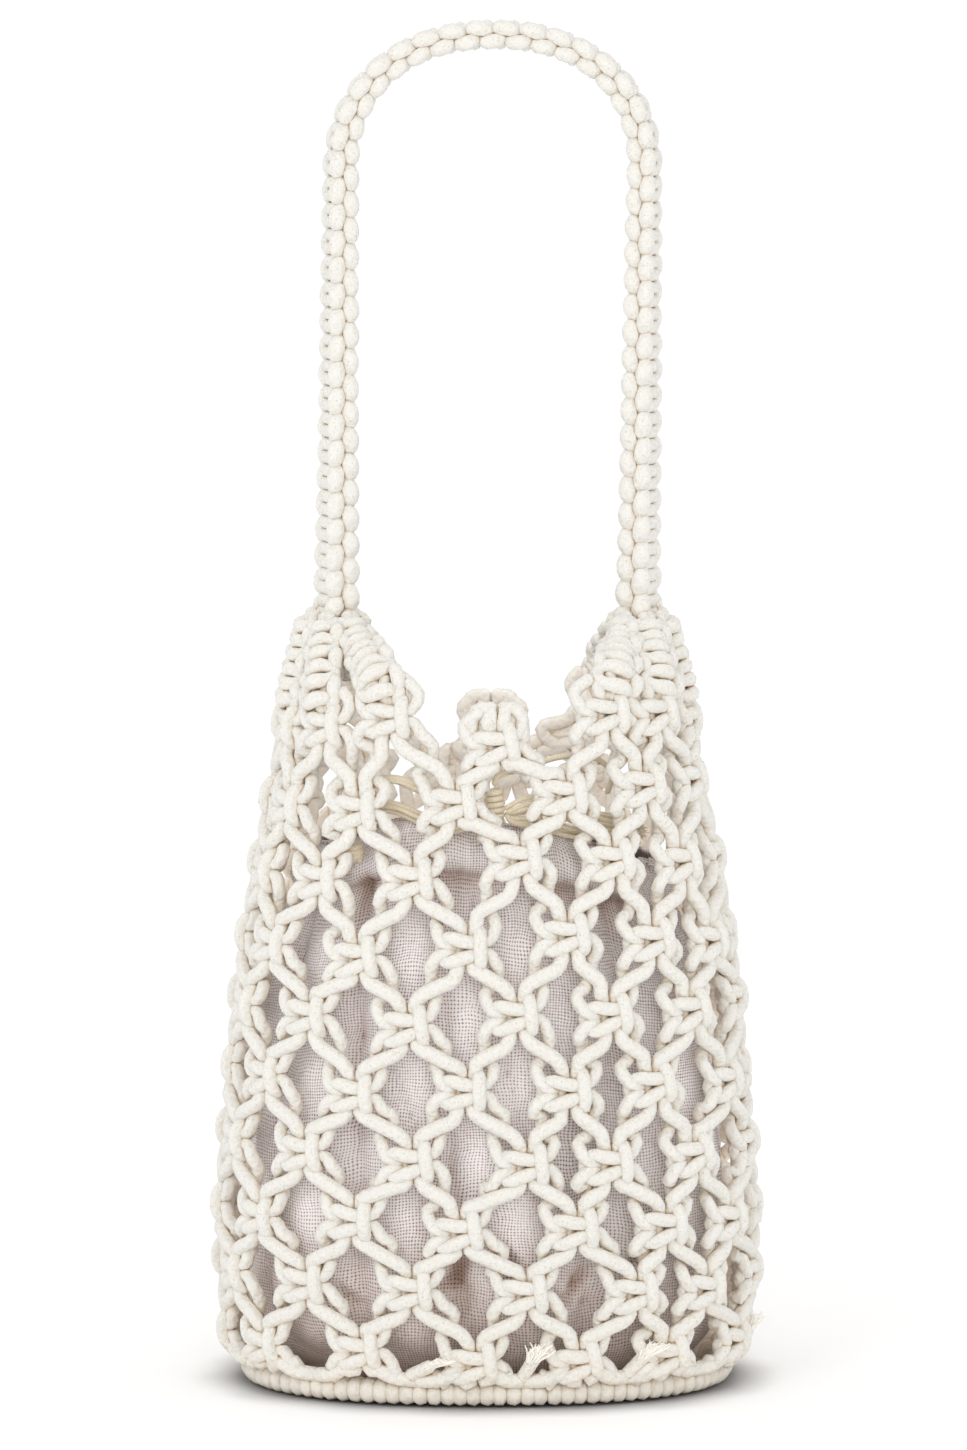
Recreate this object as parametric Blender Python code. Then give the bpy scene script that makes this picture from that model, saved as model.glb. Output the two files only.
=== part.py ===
"""
Net bag of knotted cotton rope round a linen drawstring pouch.

A staggered lattice of square knots stands on a wrapped rim and a flat base. Two shoulders of
ribbed sinnets gather into one tall arched handle. X runs across the bag, Y from the front
(negative) to the back, and Z up. The origin is on the ground under the middle of the bag.
"""
import math

import bmesh
import bpy
from mathutils import Vector

# Clearance between pieces that touch
GAP = 0.0003

# Net body, measured over the knots
BODY_HALF_WIDTH = 0.1164
BODY_HALF_DEPTH = 0.0838
NET_HEIGHT = 0.278
OVAL_POWER = 2.3
KNOTS_ROUND = 14

# One square knot and the strands between knots
KNOT_WIDTH = 0.020
KNOT_HEIGHT = 0.017
KNOT_THICKNESS = 0.013
KNOT_EDGE = 0.0095
KNOT_NOTCH = 0.3
KNOT_FLAT_TOP = 0.9
STRAND_WIDTH = 0.0085
STRAND_THICKNESS = 0.0085
FOOT_WIDTH = 0.016
FOOT_HEIGHT = 0.0055

# Wrapped rim and flat base
RIM_HEIGHT = 0.011
RIM_WIDTH = 0.012
RIM_FLAT = 0.3
RIM_SPREAD = 0.895
BASE_THICKNESS = 0.005
BASE_SIDES = 36

# Shoulders: ribbed sinnets that gather under each end of the handle
GATHER_LIFT = 0.0275
GATHER_HEIGHT = 0.0097
GATHER_BOTTOM = NET_HEIGHT + GATHER_LIFT
GATHER_TOP = GATHER_BOTTOM + GATHER_HEIGHT
GATHER_WIDTH = 0.0215
GATHER_DEPTH = 0.031
GATHER_SIDES = 12
SINNET_WIDTH = 0.0168
SINNET_TOP_WIDTH = 0.0098
SINNET_THICKNESS = 0.0112
SINNET_TOP_THICKNESS = 0.0075
SINNET_RINGS = 8
SINNET_SEAT_RINGS = 3
SINNET_RIB = 0.86
SINNET_BEND = 0.012
SINNET_LEAN = 1.1
FAN_HALF_WIDTH = 0.0112
FAN_HALF_DEPTH = 0.0168

# Handle, on its centre line: its spread is a share of BODY_HALF_WIDTH
HANDLE_SPREAD = 0.5438
HANDLE_RISE = 0.2575
HANDLE_HALF_SPAN = HANDLE_SPREAD * BODY_HALF_WIDTH
HANDLE_TOP = GATHER_TOP + HANDLE_RISE
HANDLE_ARCH_HEIGHT = 0.056
HANDLE_ARCH_POWER = 2.2
HANDLE_THICKNESS = 0.0152
HANDLE_WIDTH = 0.025
HANDLE_RIB = 0.0118
HANDLE_WAIST = 0.87
HANDLE_LEAN = 0.003

# Folded loops on the plain knots at the middle of the top row
PICOT_ROPE = 0.006
PICOT_SPREAD = 0.0122
PICOT_REACH = 0.0114
PICOT_RISE = 0.0110
PICOT_SQUEEZE = 0.84

# Linen pouch
POUCH_WALL = 0.0016
POUCH_HEIGHT = 0.2295
POUCH_CLEARANCE = 0.0016
POUCH_SIDES = 28
POUCH_FOLDS = 9
POUCH_FOLD_DEPTH = 0.0042
POUCH_MOUTH_DIP = 0.022

# Waxed drawstring
CORD_NECK = 0.0030
CORD_BUNDLE = 0.0050
CORD_LOOP = 0.0024
CORD_KNOT_WIDTH = 0.0085
CORD_KNOT_DEPTH = 0.0080
CORD_KNOT_HEIGHT = 0.0175
CORD_STOP_WIDTH = 0.0100
CORD_STOP_HEIGHT = 0.0095
TUFT_LENGTH = 0.0110
TUFT_WIDTH = 0.0068
CORD_STEP = 3.0
NECK_START = 0.30
NECK_PLACES = 22
NECK_CLEARANCE = 0.0009
NECK_SPREAD = 0.24

# Short cut ends of rope that stand on the feet of the net
ROPE_END_LENGTH = 0.0140
ROPE_END_TIP = 0.0076
ROPE_END_ROOT = 0.0056
ROPE_END_LIFT = 0.0012

# Body outline: height as a share of NET_HEIGHT, reach as a share of the half width and depth
OUTLINE = (
    {"height": 0.00, "reach": 0.870},
    {"height": 0.02, "reach": 0.915},
    {"height": 0.05, "reach": 0.962},
    {"height": 0.15, "reach": 0.992},
    {"height": 0.24, "reach": 1.000},
    {"height": 0.36, "reach": 0.984},
    {"height": 0.48, "reach": 0.955},
    {"height": 0.60, "reach": 0.928},
    {"height": 0.72, "reach": 0.882},
    {"height": 0.84, "reach": 0.828},
    {"height": 0.92, "reach": 0.786},
    {"height": 1.00, "reach": 0.755},
    {"height": 1.10, "reach": 0.720},
)

# Rows of knots from the top: height as a share of NET_HEIGHT, the column of the first knot in
# half steps, where the knots sit in steps round the bag from the middle of the front, and how
# far each hangs above or below its row, as a share of NET_HEIGHT
ROWS = (
    {"height": 1.000, "first": -8, "steps": (-3.65, -2.95, -2.14, -1.24, 0.13, 1.55, 2.30,
                                              3.30, 4.15, 4.85, 5.55, 6.95, 8.40, 9.35),
     "lifts": (0.000, 0.000, 0.006, 0.016, -0.012, 0.020, 0.016,
               0.004, 0.000, 0.004, 0.012, 0.000, 0.012, 0.004)},
    {"height": 0.906, "first": -5, "steps": (-2.60, -1.55, -0.38, 0.94, 1.96),
     "lifts": (-0.020, -0.020, -0.004, 0.008, 0.016)},
    {"height": 0.804, "first": -4, "steps": (-1.92, -0.83, 0.37, 1.43, 2.34),
     "lifts": (-0.024, -0.015, 0.017, 0.011, -0.002)},
    {"height": 0.690, "first": -5, "steps": (-2.48, -1.37, -0.22, 0.86, 1.81, 2.65),
     "lifts": (-0.009, -0.018, 0.001, 0.018, 0.005, -0.009)},
    {"height": 0.586, "first": -4, "steps": (-1.88, -0.80, 0.30, 1.26, 2.19),
     "lifts": (-0.004, -0.011, 0.005, 0.003, -0.001)},
    {"height": 0.477, "first": -5, "steps": (-2.38, -1.33, -0.21, 0.81, 1.69, 2.68),
     "lifts": (0.006, -0.007, 0.001, 0.002, 0.003, -0.006)},
    {"height": 0.376, "first": -4, "steps": (-1.83, -0.72, 0.38, 1.20, 2.10),
     "lifts": (0.005, -0.002, -0.006, -0.007, -0.007)},
    {"height": 0.274, "first": -5, "steps": (-2.34, -1.29, -0.25, 0.85, 1.74, 2.56),
     "lifts": (-0.001, 0.009, -0.003, 0.000, -0.003, -0.009)},
    {"height": 0.174, "first": -4, "steps": (-1.78, -0.72, 0.37, 1.44, 2.22),
     "lifts": (0.007, 0.006, 0.002, -0.002, -0.008)},
    {"height": 0.078, "first": -5, "steps": (-2.34, -1.24, -0.11, 0.91, 1.82),
     "lifts": (0.001, 0.006, -0.004, -0.004, -0.005)},
)
PICOT_COLUMNS = {"front": 0, "back": 14}

# Sinnets of the right shoulder from front to back: column of the knot under each, and where
# its top sits round the fan, in degrees from straight outwards
SINNETS = (
    {"column": 2, "fan": -124.0},
    {"column": 4, "fan": -71.0},
    {"column": 6, "fan": -25.0},
    {"column": 8, "fan": 18.0},
    {"column": 10, "fan": 75.0},
    {"column": 12, "fan": 126.0},
)

# Gather from the bottom: height as a share of its own, and swell as a share of its width
GATHER_SECTIONS = (
    {"height": 0.0, "swell": 0.88},
    {"height": 0.5, "swell": 1.00},
    {"height": 1.0, "swell": 0.86},
)

# Six-sided section of a knotted strip: across and through it, as shares of its two sizes
STRIP_CORNERS = (
    {"across": 0.50, "through": 0.0},
    {"across": 0.28, "through": 0.5},
    {"across": -0.28, "through": 0.5},
    {"across": -0.50, "through": 0.0},
    {"across": -0.28, "through": -0.5},
    {"across": 0.28, "through": -0.5},
)

# Wrapped knot of the drawstring: height and swell as shares of its own sizes
BARREL_SECTIONS = (
    {"height": -0.50, "swell": 0.6},
    {"height": -0.25, "swell": 1.0},
    {"height": 0.25, "swell": 1.0},
    {"height": 0.50, "swell": 0.6},
)
BARREL_SIDES = 8

# Frayed end: place along it and how far it has spread from its root to its tip width
FLARE_SECTIONS = (
    {"place": 0.00, "spread": 0.0, "size": 1.0},
    {"place": 0.55, "spread": 0.0, "size": 1.0},
    {"place": 0.85, "spread": 1.0, "size": 1.0},
    {"place": 1.00, "spread": 1.0, "size": 0.7},
)
FLARE_SIDES = 6

# Pouch from the bottom: height as a share of POUCH_HEIGHT, how far it draws in from the net
# as a share of BODY_HALF_DEPTH, and fold depth as a share of POUCH_FOLD_DEPTH
POUCH_SECTIONS = (
    {"height": 0.000, "draw_in": 0.130, "fold": 0.0},
    {"height": 0.045, "draw_in": 0.020, "fold": 0.2},
    {"height": 0.330, "draw_in": 0.000, "fold": 0.3},
    {"height": 0.620, "draw_in": 0.000, "fold": 0.5},
    {"height": 0.790, "draw_in": 0.020, "fold": 0.7},
    {"height": 0.900, "draw_in": 0.090, "fold": 1.0},
    {"height": 0.955, "draw_in": 0.150, "fold": 1.0},
    {"height": 1.000, "draw_in": 0.130, "fold": 1.0},
)

# Places on the drawstring, chosen by hand along the cords: across as a share of
# BODY_HALF_WIDTH, back as a share of BODY_HALF_DEPTH and up as a share of POUCH_HEIGHT
CORD_KNOT_PLACE = {"across": -0.009, "back": -0.599, "up": 1.0349}
CORD_STOP_PLACE = {"across": -0.479, "back": -0.544, "up": 0.9542}
LEFT_ROUTE = (
    {"across": -0.053, "back": -0.597, "up": 1.0336},
    {"across": -0.129, "back": -0.585, "up": 1.0405},
    {"across": -0.232, "back": -0.573, "up": 1.0675},
    {"across": -0.335, "back": -0.561, "up": 1.0858},
    {"across": -0.430, "back": -0.537, "up": 1.0719},
    {"across": -0.485, "back": -0.525, "up": 1.0414},
    {"across": -0.481, "back": -0.539, "up": 1.0022},
    {"across": -0.479, "back": -0.544, "up": 0.9782},
)
RIGHT_ROUTE = (
    {"across": 0.036, "back": -0.597, "up": 1.0240},
    {"across": 0.129, "back": -0.591, "up": 1.0349},
    {"across": 0.232, "back": -0.585, "up": 1.0305},
    {"across": 0.335, "back": -0.563, "up": 1.0131},
    {"across": 0.430, "back": -0.516, "up": 1.0022},
    {"across": 0.490, "back": -0.468, "up": 0.9978},
)
LOOP_ROUTE = (
    {"across": -0.009, "back": -0.599, "up": 1.0789},
    {"across": -0.003, "back": -0.599, "up": 1.0893},
    {"across": 0.034, "back": -0.597, "up": 1.1002},
    {"across": 0.129, "back": -0.591, "up": 1.1089},
    {"across": 0.266, "back": -0.537, "up": 1.1264},
    {"across": 0.378, "back": -0.465, "up": 1.1220},
    {"across": 0.447, "back": -0.394, "up": 1.0893},
    {"across": 0.430, "back": -0.370, "up": 1.0545},
)

# Cut rope ends: column of the foot that each stands on, and the way it points in the wall's
# own directions
ROPE_ENDS = (
    {"name": "rope_end_left", "column": -2, "along": 0.14, "up": 1.00, "out": 0.10},
    {"name": "rope_end_middle", "column": 0, "along": -0.08, "up": 1.00, "out": 0.08},
    {"name": "rope_end_right", "column": 2, "along": 0.03, "up": 1.00, "out": 0.14},
    {"name": "rope_end_side", "column": 6, "along": 0.04, "up": 0.95, "out": 0.22},
)


def clear_scene():
    """Remove every object of the open scene."""
    for thing in list(bpy.data.objects):
        bpy.data.objects.remove(thing, do_unlink=True)


def material(name, colour, roughness):
    """A plain non-metallic finish."""
    finish = bpy.data.materials.new(name)
    finish.use_nodes = True
    shader = finish.node_tree.nodes["Principled BSDF"]
    shader.inputs["Base Color"].default_value = (*colour, 1.0)
    shader.inputs["Roughness"].default_value = roughness
    shader.inputs["Metallic"].default_value = 0.0
    return finish


def interpolate(table, key, value, column):
    """Smooth value of a table's column, on a curve through its rows."""
    keys = [row[key] for row in table]
    values = [row[column] for row in table]
    if value <= keys[0]:
        return values[0]
    if value >= keys[-1]:
        return values[-1]
    low = max(i for i in range(len(keys) - 1) if keys[i] <= value)
    span = keys[low + 1] - keys[low]
    share = (value - keys[low]) / span

    def slope(i):
        before = max(i - 1, 0)
        after = min(i + 1, len(keys) - 1)
        return (values[after] - values[before]) / (keys[after] - keys[before])

    a, b = values[low], values[low + 1]
    tangent_a, tangent_b = slope(low) * span, slope(low + 1) * span
    square, cube = share ** 2, share ** 3
    return ((2 * cube - 3 * square + 1) * a + (cube - 2 * square + share) * tangent_a
            + (3 * square - 2 * cube) * b + (cube - square) * tangent_b)


def oval_direction(angle, half_width, half_depth):
    """Point of the rounded oval at an angle from +X."""
    across, along = math.cos(angle), math.sin(angle)
    return (math.copysign(abs(across) ** (2 / OVAL_POWER), across) * half_width,
            math.copysign(abs(along) ** (2 / OVAL_POWER), along) * half_depth)


def measure_oval():
    """Angles at even shares of the way round the net, from the middle of the front."""
    samples = 1440
    half_width = BODY_HALF_WIDTH - KNOT_THICKNESS / 2
    half_depth = BODY_HALF_DEPTH - KNOT_THICKNESS / 2
    angles = [-math.pi / 2 + 2 * math.pi * i / samples for i in range(samples + 1)]
    points = [oval_direction(angle, half_width, half_depth) for angle in angles]
    lengths = [0.0]
    for before, after in zip(points, points[1:]):
        lengths.append(lengths[-1] + math.dist(before, after))
    return angles, [length / lengths[-1] for length in lengths]


ANGLES, SHARES = measure_oval()


def angle_at(step):
    """Angle of a place given in knot steps from the middle of the front."""
    share = (step / KNOTS_ROUND) % 1.0
    low, high = 0, len(SHARES) - 1
    while high - low > 1:
        middle = (low + high) // 2
        if SHARES[middle] <= share:
            low = middle
        else:
            high = middle
    part = (share - SHARES[low]) / (SHARES[high] - SHARES[low])
    return ANGLES[low] + part * (ANGLES[high] - ANGLES[low])


def middle_point(step, height):
    """Point on the middle surface of the net wall."""
    reach = interpolate(OUTLINE, "height", height / NET_HEIGHT, "reach")
    x, y = oval_direction(angle_at(step), reach * (BODY_HALF_WIDTH - KNOT_THICKNESS / 2),
                          reach * (BODY_HALF_DEPTH - KNOT_THICKNESS / 2))
    return Vector((x, y, height))


def wall_frame(step, height):
    """Middle point of the wall with its unit directions along, up and out."""
    small_step, small_rise = 0.01, 0.0005
    along = (middle_point(step + small_step, height)
             - middle_point(step - small_step, height)).normalized()
    rise = middle_point(step, height + small_rise) - middle_point(step, height - small_rise)
    out = along.cross(rise).normalized()
    return middle_point(step, height), along, out.cross(along), out


def level_point(step, height, inset):
    """Point on the wall moved level by an inset towards the inside."""
    point, along, up, out = wall_frame(step, height)
    level_out = Vector((out.x, out.y, 0.0)).normalized()
    return point - level_out * inset


def add_object(name, bm, finish, smooth=False):
    """Turn a bmesh into a named object with its faces pointing out."""
    bmesh.ops.recalc_face_normals(bm, faces=bm.faces)
    mesh = bpy.data.meshes.new(name)
    bm.to_mesh(mesh)
    bm.free()
    mesh.materials.append(finish)
    if smooth:
        mesh.shade_smooth()
    thing = bpy.data.objects.new(name, mesh)
    bpy.context.scene.collection.objects.link(thing)
    return thing


def add_rings(bm, rings, closed=False):
    """Skin a run of equal rings, capped at both ends or closed into a loop."""
    made = [[bm.verts.new(point) for point in ring] for ring in rings]
    pairs = list(zip(made, made[1:]))
    if closed:
        pairs.append((made[-1], made[0]))
    for lower, upper in pairs:
        for i in range(len(lower)):
            j = (i + 1) % len(lower)
            bm.faces.new((lower[i], lower[j], upper[j], upper[i]))
    if not closed:
        bm.faces.new(made[0])
        bm.faces.new(made[-1])


def row_columns(row, name, turn):
    """Value of every knot of a row by column; the hidden ones are spaced evenly."""
    values = list(row[name])
    hidden = KNOTS_ROUND - len(values)
    last, first_again = values[-1], values[0] + turn
    stride = (first_again - last) / (hidden + 1)
    values += [last + stride * (i + 1) for i in range(hidden)]
    columns = [(row["first"] + 2 * i) % (2 * KNOTS_ROUND) for i in range(KNOTS_ROUND)]
    return dict(zip(columns, values))


ROW_STEPS = [row_columns(row, "steps", KNOTS_ROUND) for row in ROWS]
ROW_LIFTS = [row_columns(row, "lifts", 0.0) for row in ROWS]


def knot_height(index, column):
    """Height of the middle of a knot above the ground."""
    return (ROWS[index]["height"] + ROW_LIFTS[index][column]) * NET_HEIGHT


def add_knot(bm, step, height, half_width, half_height, flat_top):
    """Knot block with corners outside and inside, and a raised middle outside."""
    point, along, up, out = wall_frame(step, height)
    notch = KNOT_NOTCH * half_height
    corners = {"top_right": (0.0, half_height), "right_high": (half_width, notch),
               "right_low": (half_width, -notch), "bottom": (0.0, -half_height),
               "left_low": (-half_width, -notch), "left_high": (-half_width, notch)}
    if flat_top:
        corners["top_right"] = (KNOT_FLAT_TOP * half_width, half_height)
        corners["top_left"] = (-KNOT_FLAT_TOP * half_width, half_height)
    knot = {"step": step, "height": height, "names": list(corners)}
    for name, (across, rise) in corners.items():
        corner = point + along * across + up * rise
        knot[name] = (bm.verts.new(corner + out * (KNOT_EDGE / 2)),
                      bm.verts.new(corner - out * (KNOT_EDGE / 2)))
    knot["top_left"] = knot.get("top_left", knot["top_right"])
    crown = bm.verts.new(point + out * (KNOT_THICKNESS / 2))
    names = knot["names"]
    for name, following in zip(names, names[1:] + names[:1]):
        bm.faces.new((knot[name][0], knot[following][0], crown))
    bm.faces.new([knot[name][1] for name in reversed(names)])
    return knot


def close_side(bm, knot, name, following):
    """Close one free side of a knot block."""
    bm.faces.new((knot[name][0], knot[following][0], knot[following][1], knot[name][1]))


def add_strand(bm, upper, upper_side, lower, lower_side, narrows):
    """Join two knot blocks by a strand, which may narrow at its middle."""
    start = [upper[upper_side][0], upper["bottom"][0], upper["bottom"][1], upper[upper_side][1]]
    end = [lower["top_right"][0], lower[lower_side][0], lower[lower_side][1],
           lower["top_right"][1]]
    half_round = KNOTS_ROUND / 2
    stride = (lower["step"] - upper["step"] + half_round) % KNOTS_ROUND - half_round
    middle, along, up, out = wall_frame(upper["step"] + stride / 2,
                                        (upper["height"] + lower["height"]) / 2)
    side = start[0].co + end[0].co - start[1].co - end[1].co
    side -= out * side.dot(out)
    side.normalize()
    rings = [start, end]
    if narrows:
        rings.insert(1, [bm.verts.new(middle + side * (across * STRAND_WIDTH)
                                      + out * (depth * STRAND_THICKNESS))
                         for across, depth in ((0.5, 0.5), (-0.5, 0.5), (-0.5, -0.5),
                                               (0.5, -0.5))])
    for near, far in zip(rings, rings[1:]):
        for i in range(4):
            j = (i + 1) % 4
            bm.faces.new((near[i], near[j], far[j], far[i]))


def foot_height():
    """Height of the middle of the feet that stand on the rim."""
    return RIM_HEIGHT + GAP + FOOT_HEIGHT / 2


def build_net(finish):
    """The lattice wall: rows of knots joined by slanting strands, with feet on the rim."""
    bm = bmesh.new()
    knots = []
    for index, steps in enumerate(ROW_STEPS):
        knots.append({column: add_knot(bm, step, knot_height(index, column), KNOT_WIDTH / 2,
                                       KNOT_HEIGHT / 2, index == 0)
                      for column, step in steps.items()})
    knots.append({column: add_knot(bm, step, foot_height(), FOOT_WIDTH / 2, FOOT_HEIGHT / 2,
                                   False)
                  for column, step in ROW_STEPS[-2].items()})
    for index, row in enumerate(knots):
        for column, knot in row.items():
            close_side(bm, knot, "right_high", "right_low")
            close_side(bm, knot, "left_low", "left_high")
            if index == 0:
                close_side(bm, knot, "left_high", "top_left")
                close_side(bm, knot, "top_left", "top_right")
                close_side(bm, knot, "top_right", "right_high")
            if index == len(knots) - 1:
                close_side(bm, knot, "right_low", "bottom")
                close_side(bm, knot, "bottom", "left_low")
                continue
            below = knots[index + 1]
            narrows = index < len(ROWS) - 1
            add_strand(bm, knot, "left_low", below[(column - 1) % (2 * KNOTS_ROUND)],
                       "right_high", narrows)
            add_strand(bm, knot, "right_low", below[(column + 1) % (2 * KNOTS_ROUND)],
                       "left_high", narrows)
    return add_object("net_body", bm, finish)


def build_rim(finish):
    """Wrapped rim round the bottom edge, flat underneath."""
    half = RIM_WIDTH / 2
    flat = RIM_FLAT * RIM_WIDTH
    section = ((half, RIM_HEIGHT / 2), (flat, RIM_HEIGHT), (-flat, RIM_HEIGHT),
               (-half, RIM_HEIGHT / 2), (-flat, 0.0), (flat, 0.0))
    rings = []
    for i in range(BASE_SIDES):
        angle = angle_at(KNOTS_ROUND * i / BASE_SIDES)
        rings.append([rim_point(angle, out, height) for out, height in section])
    bm = bmesh.new()
    add_rings(bm, rings, closed=True)
    return add_object("base_rim", bm, finish)


def rim_point(angle, out, height):
    """Point beside the rim's centre line, level with it."""
    half_width = RIM_SPREAD * (BODY_HALF_WIDTH - KNOT_THICKNESS / 2)
    half_depth = RIM_SPREAD * (BODY_HALF_DEPTH - KNOT_THICKNESS / 2)
    small = 0.01
    before = Vector(oval_direction(angle - small, half_width, half_depth))
    after = Vector(oval_direction(angle + small, half_width, half_depth))
    along = (after - before).normalized()
    x, y = oval_direction(angle, half_width, half_depth)
    return Vector((x + along.y * out, y - along.x * out, height))


def build_base(finish):
    """Flat oval bottom inside the rim."""
    inset = RIM_WIDTH / 2 + GAP
    edge = [angle_at(KNOTS_ROUND * i / BASE_SIDES) for i in range(BASE_SIDES)]
    rings = [[rim_point(angle, -inset, height) for angle in edge]
             for height in (0.0, BASE_THICKNESS)]
    bm = bmesh.new()
    add_rings(bm, rings)
    return add_object("base_panel", bm, finish)


def bezier(points, share):
    """Point and unit direction on a cubic curve."""
    a, b, c, d = points
    rest = 1.0 - share
    point = (a * rest ** 3 + b * (3 * rest ** 2 * share) + c * (3 * rest * share ** 2)
             + d * share ** 3)
    way = (b - a) * rest ** 2 + (c - b) * (2 * rest * share) + (d - c) * share ** 2
    return point, way.normalized()


def six_sided(centre, across, depth, width, thickness):
    """Flattened six-sided ring, wide along one direction."""
    return [centre + across * (corner["across"] * width)
            + depth * (corner["through"] * thickness) for corner in STRIP_CORNERS]


def sinnet_rings(curve, out, fan_out):
    """Rings of a ribbed sinnet along its curve, tapering towards the gather."""
    rings = []
    for i in range(SINNET_RINGS):
        share = i / (SINNET_RINGS - 1)
        centre, way = bezier(curve, share)
        depth = out.lerp(fan_out, share)
        depth = (depth - way * depth.dot(way)).normalized()
        width = SINNET_WIDTH + (SINNET_TOP_WIDTH - SINNET_WIDTH) * share
        thickness = SINNET_THICKNESS + (SINNET_TOP_THICKNESS - SINNET_THICKNESS) * share
        rib = 1.0 if i % 2 else SINNET_RIB
        rings.append(six_sided(centre, way.cross(depth), depth, width * rib, thickness * rib))
    return rings


def build_sinnet(name, column, side, fan, finish):
    """Ribbed sinnet that leans from a knot of the top row up to the gather."""
    point, along, up, out = wall_frame(ROW_STEPS[0][column], knot_height(0, column))
    angle = math.radians(fan)
    fan_out = Vector((side * math.cos(angle), math.sin(angle), 0.0))
    end = Vector((side * (HANDLE_HALF_SPAN + FAN_HALF_WIDTH * math.cos(angle)),
                  FAN_HALF_DEPTH * math.sin(angle), GATHER_BOTTOM - GAP))
    seat = point + up * (KNOT_HEIGHT / 2 + GAP)
    way = (up + (end - seat).normalized() * SINNET_LEAN).normalized()
    last_bend = end - Vector((0, 0, SINNET_BEND))
    rings = sinnet_rings((seat, seat + way * SINNET_BEND, last_bend, end), out, fan_out)
    seated = [corner for ring in rings[:SINNET_SEAT_RINGS] for corner in ring]
    lift = -min((corner - seat).dot(up) for corner in seated)
    start = seat + up * lift
    rings = sinnet_rings((start, start + way * SINNET_BEND, last_bend, end), out, fan_out)
    bm = bmesh.new()
    add_rings(bm, rings)
    return add_object(name, bm, finish)


def build_gather(name, side, finish):
    """Band of rope that gathers the sinnets under one end of the handle."""
    rings = []
    for section in GATHER_SECTIONS:
        half_width = section["swell"] * GATHER_WIDTH / 2
        half_depth = section["swell"] * GATHER_DEPTH / 2
        height = GATHER_BOTTOM + section["height"] * (GATHER_TOP - GATHER_BOTTOM)
        ring = []
        for i in range(GATHER_SIDES):
            angle = 2 * math.pi * i / GATHER_SIDES
            ring.append(Vector((side * HANDLE_HALF_SPAN + half_width * math.cos(angle),
                                half_depth * math.sin(angle), height)))
        rings.append(ring)
    bm = bmesh.new()
    add_rings(bm, rings)
    return add_object(name, bm, finish)


def build_shoulders(finish):
    """Six sinnets and a gather on each side."""
    for side, label in ((1, "right"), (-1, "left")):
        for number, sinnet in enumerate(SINNETS, start=1):
            column = side * sinnet["column"] % (2 * KNOTS_ROUND)
            build_sinnet(f"sinnet_{label}_{number}", column, side, sinnet["fan"], finish)
        build_gather(f"gather_{label}", side, finish)


def handle_path():
    """Centre line of the handle from the left end to the right end."""
    foot = GATHER_TOP + GAP
    crown = HANDLE_TOP - HANDLE_THICKNESS / 2
    spring = crown - HANDLE_ARCH_HEIGHT
    points = []
    leg_steps = 60
    arch_steps = 240
    for i in range(leg_steps):
        points.append((-HANDLE_HALF_SPAN, foot + (spring - foot) * i / leg_steps))
    for i in range(arch_steps + 1):
        angle = math.pi * (1 - i / arch_steps)
        across, rise = math.cos(angle), math.sin(angle)
        power = 2 / HANDLE_ARCH_POWER
        points.append((math.copysign(abs(across) ** power, across) * HANDLE_HALF_SPAN,
                       spring + abs(rise) ** power * HANDLE_ARCH_HEIGHT))
    for i in range(leg_steps - 1, -1, -1):
        points.append((HANDLE_HALF_SPAN, foot + (spring - foot) * i / leg_steps))
    path = []
    for x, z in points:
        lean = HANDLE_LEAN * (z - foot) / (crown - foot)
        path.append(Vector((x + lean, 0.0, z)))
    return path


def along_path(path, count):
    """Evenly spaced points and directions along a path."""
    lengths = [0.0]
    for before, after in zip(path, path[1:]):
        lengths.append(lengths[-1] + (after - before).length)
    result = []
    low = 0
    for i in range(count):
        target = lengths[-1] * i / (count - 1)
        while low < len(path) - 2 and lengths[low + 1] < target:
            low += 1
        span = lengths[low + 1] - lengths[low]
        share = (target - lengths[low]) / span
        way = (path[low + 1] - path[low]).normalized()
        result.append((path[low].lerp(path[low + 1], share), way))
    return result


def path_length(path):
    """Length of a run of points."""
    return sum((after - before).length for before, after in zip(path, path[1:]))


def build_handle(finish):
    """Tall ribbed arch, wide from front to back."""
    path = handle_path()
    ribs = round(path_length(path) / HANDLE_RIB)
    depth = Vector((0.0, 1.0, 0.0))
    rings = []
    for i, (centre, way) in enumerate(along_path(path, 2 * ribs + 1)):
        if i in (0, 2 * ribs):
            way = Vector((0.0, 0.0, 1.0 if i == 0 else -1.0))
        size = 1.0 if i % 2 else HANDLE_WAIST
        rings.append(six_sided(centre, depth, way.cross(depth), HANDLE_WIDTH * size,
                               HANDLE_THICKNESS * size))
    bm = bmesh.new()
    add_rings(bm, rings)
    return add_object("handle", bm, finish)


def build_picot(name, column, side, finish):
    """Small folded loop of rope on top of a plain knot."""
    point, along, up, out = wall_frame(ROW_STEPS[0][column], knot_height(0, column))
    base = point + up * (KNOT_HEIGHT / 2 + GAP) + along * (side * PICOT_SPREAD / 2)
    leg = PICOT_SQUEEZE * PICOT_ROPE / 2
    reach = PICOT_REACH / 2 - leg
    stem = PICOT_RISE - leg - reach
    segments = 6
    sides = 6
    turns = [(0.0, 0.0)]
    turns += [(math.pi * i / segments, stem) for i in range(segments + 1)]
    turns += [(math.pi, 0.0)]
    rings = []
    for angle, lift in turns:
        centre = (base - along * (math.cos(angle) * reach)
                  + up * (lift + math.sin(angle) * reach))
        across = (along * math.sin(angle) + up * math.cos(angle)).cross(out)
        ring = []
        for j in range(sides):
            turn = 2 * math.pi * j / sides
            ring.append(centre + across * (math.cos(turn) * leg)
                        + out * (math.sin(turn) * PICOT_ROPE / 2))
        rings.append(ring)
    bm = bmesh.new()
    add_rings(bm, rings)
    return add_object(name, bm, finish)


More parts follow.
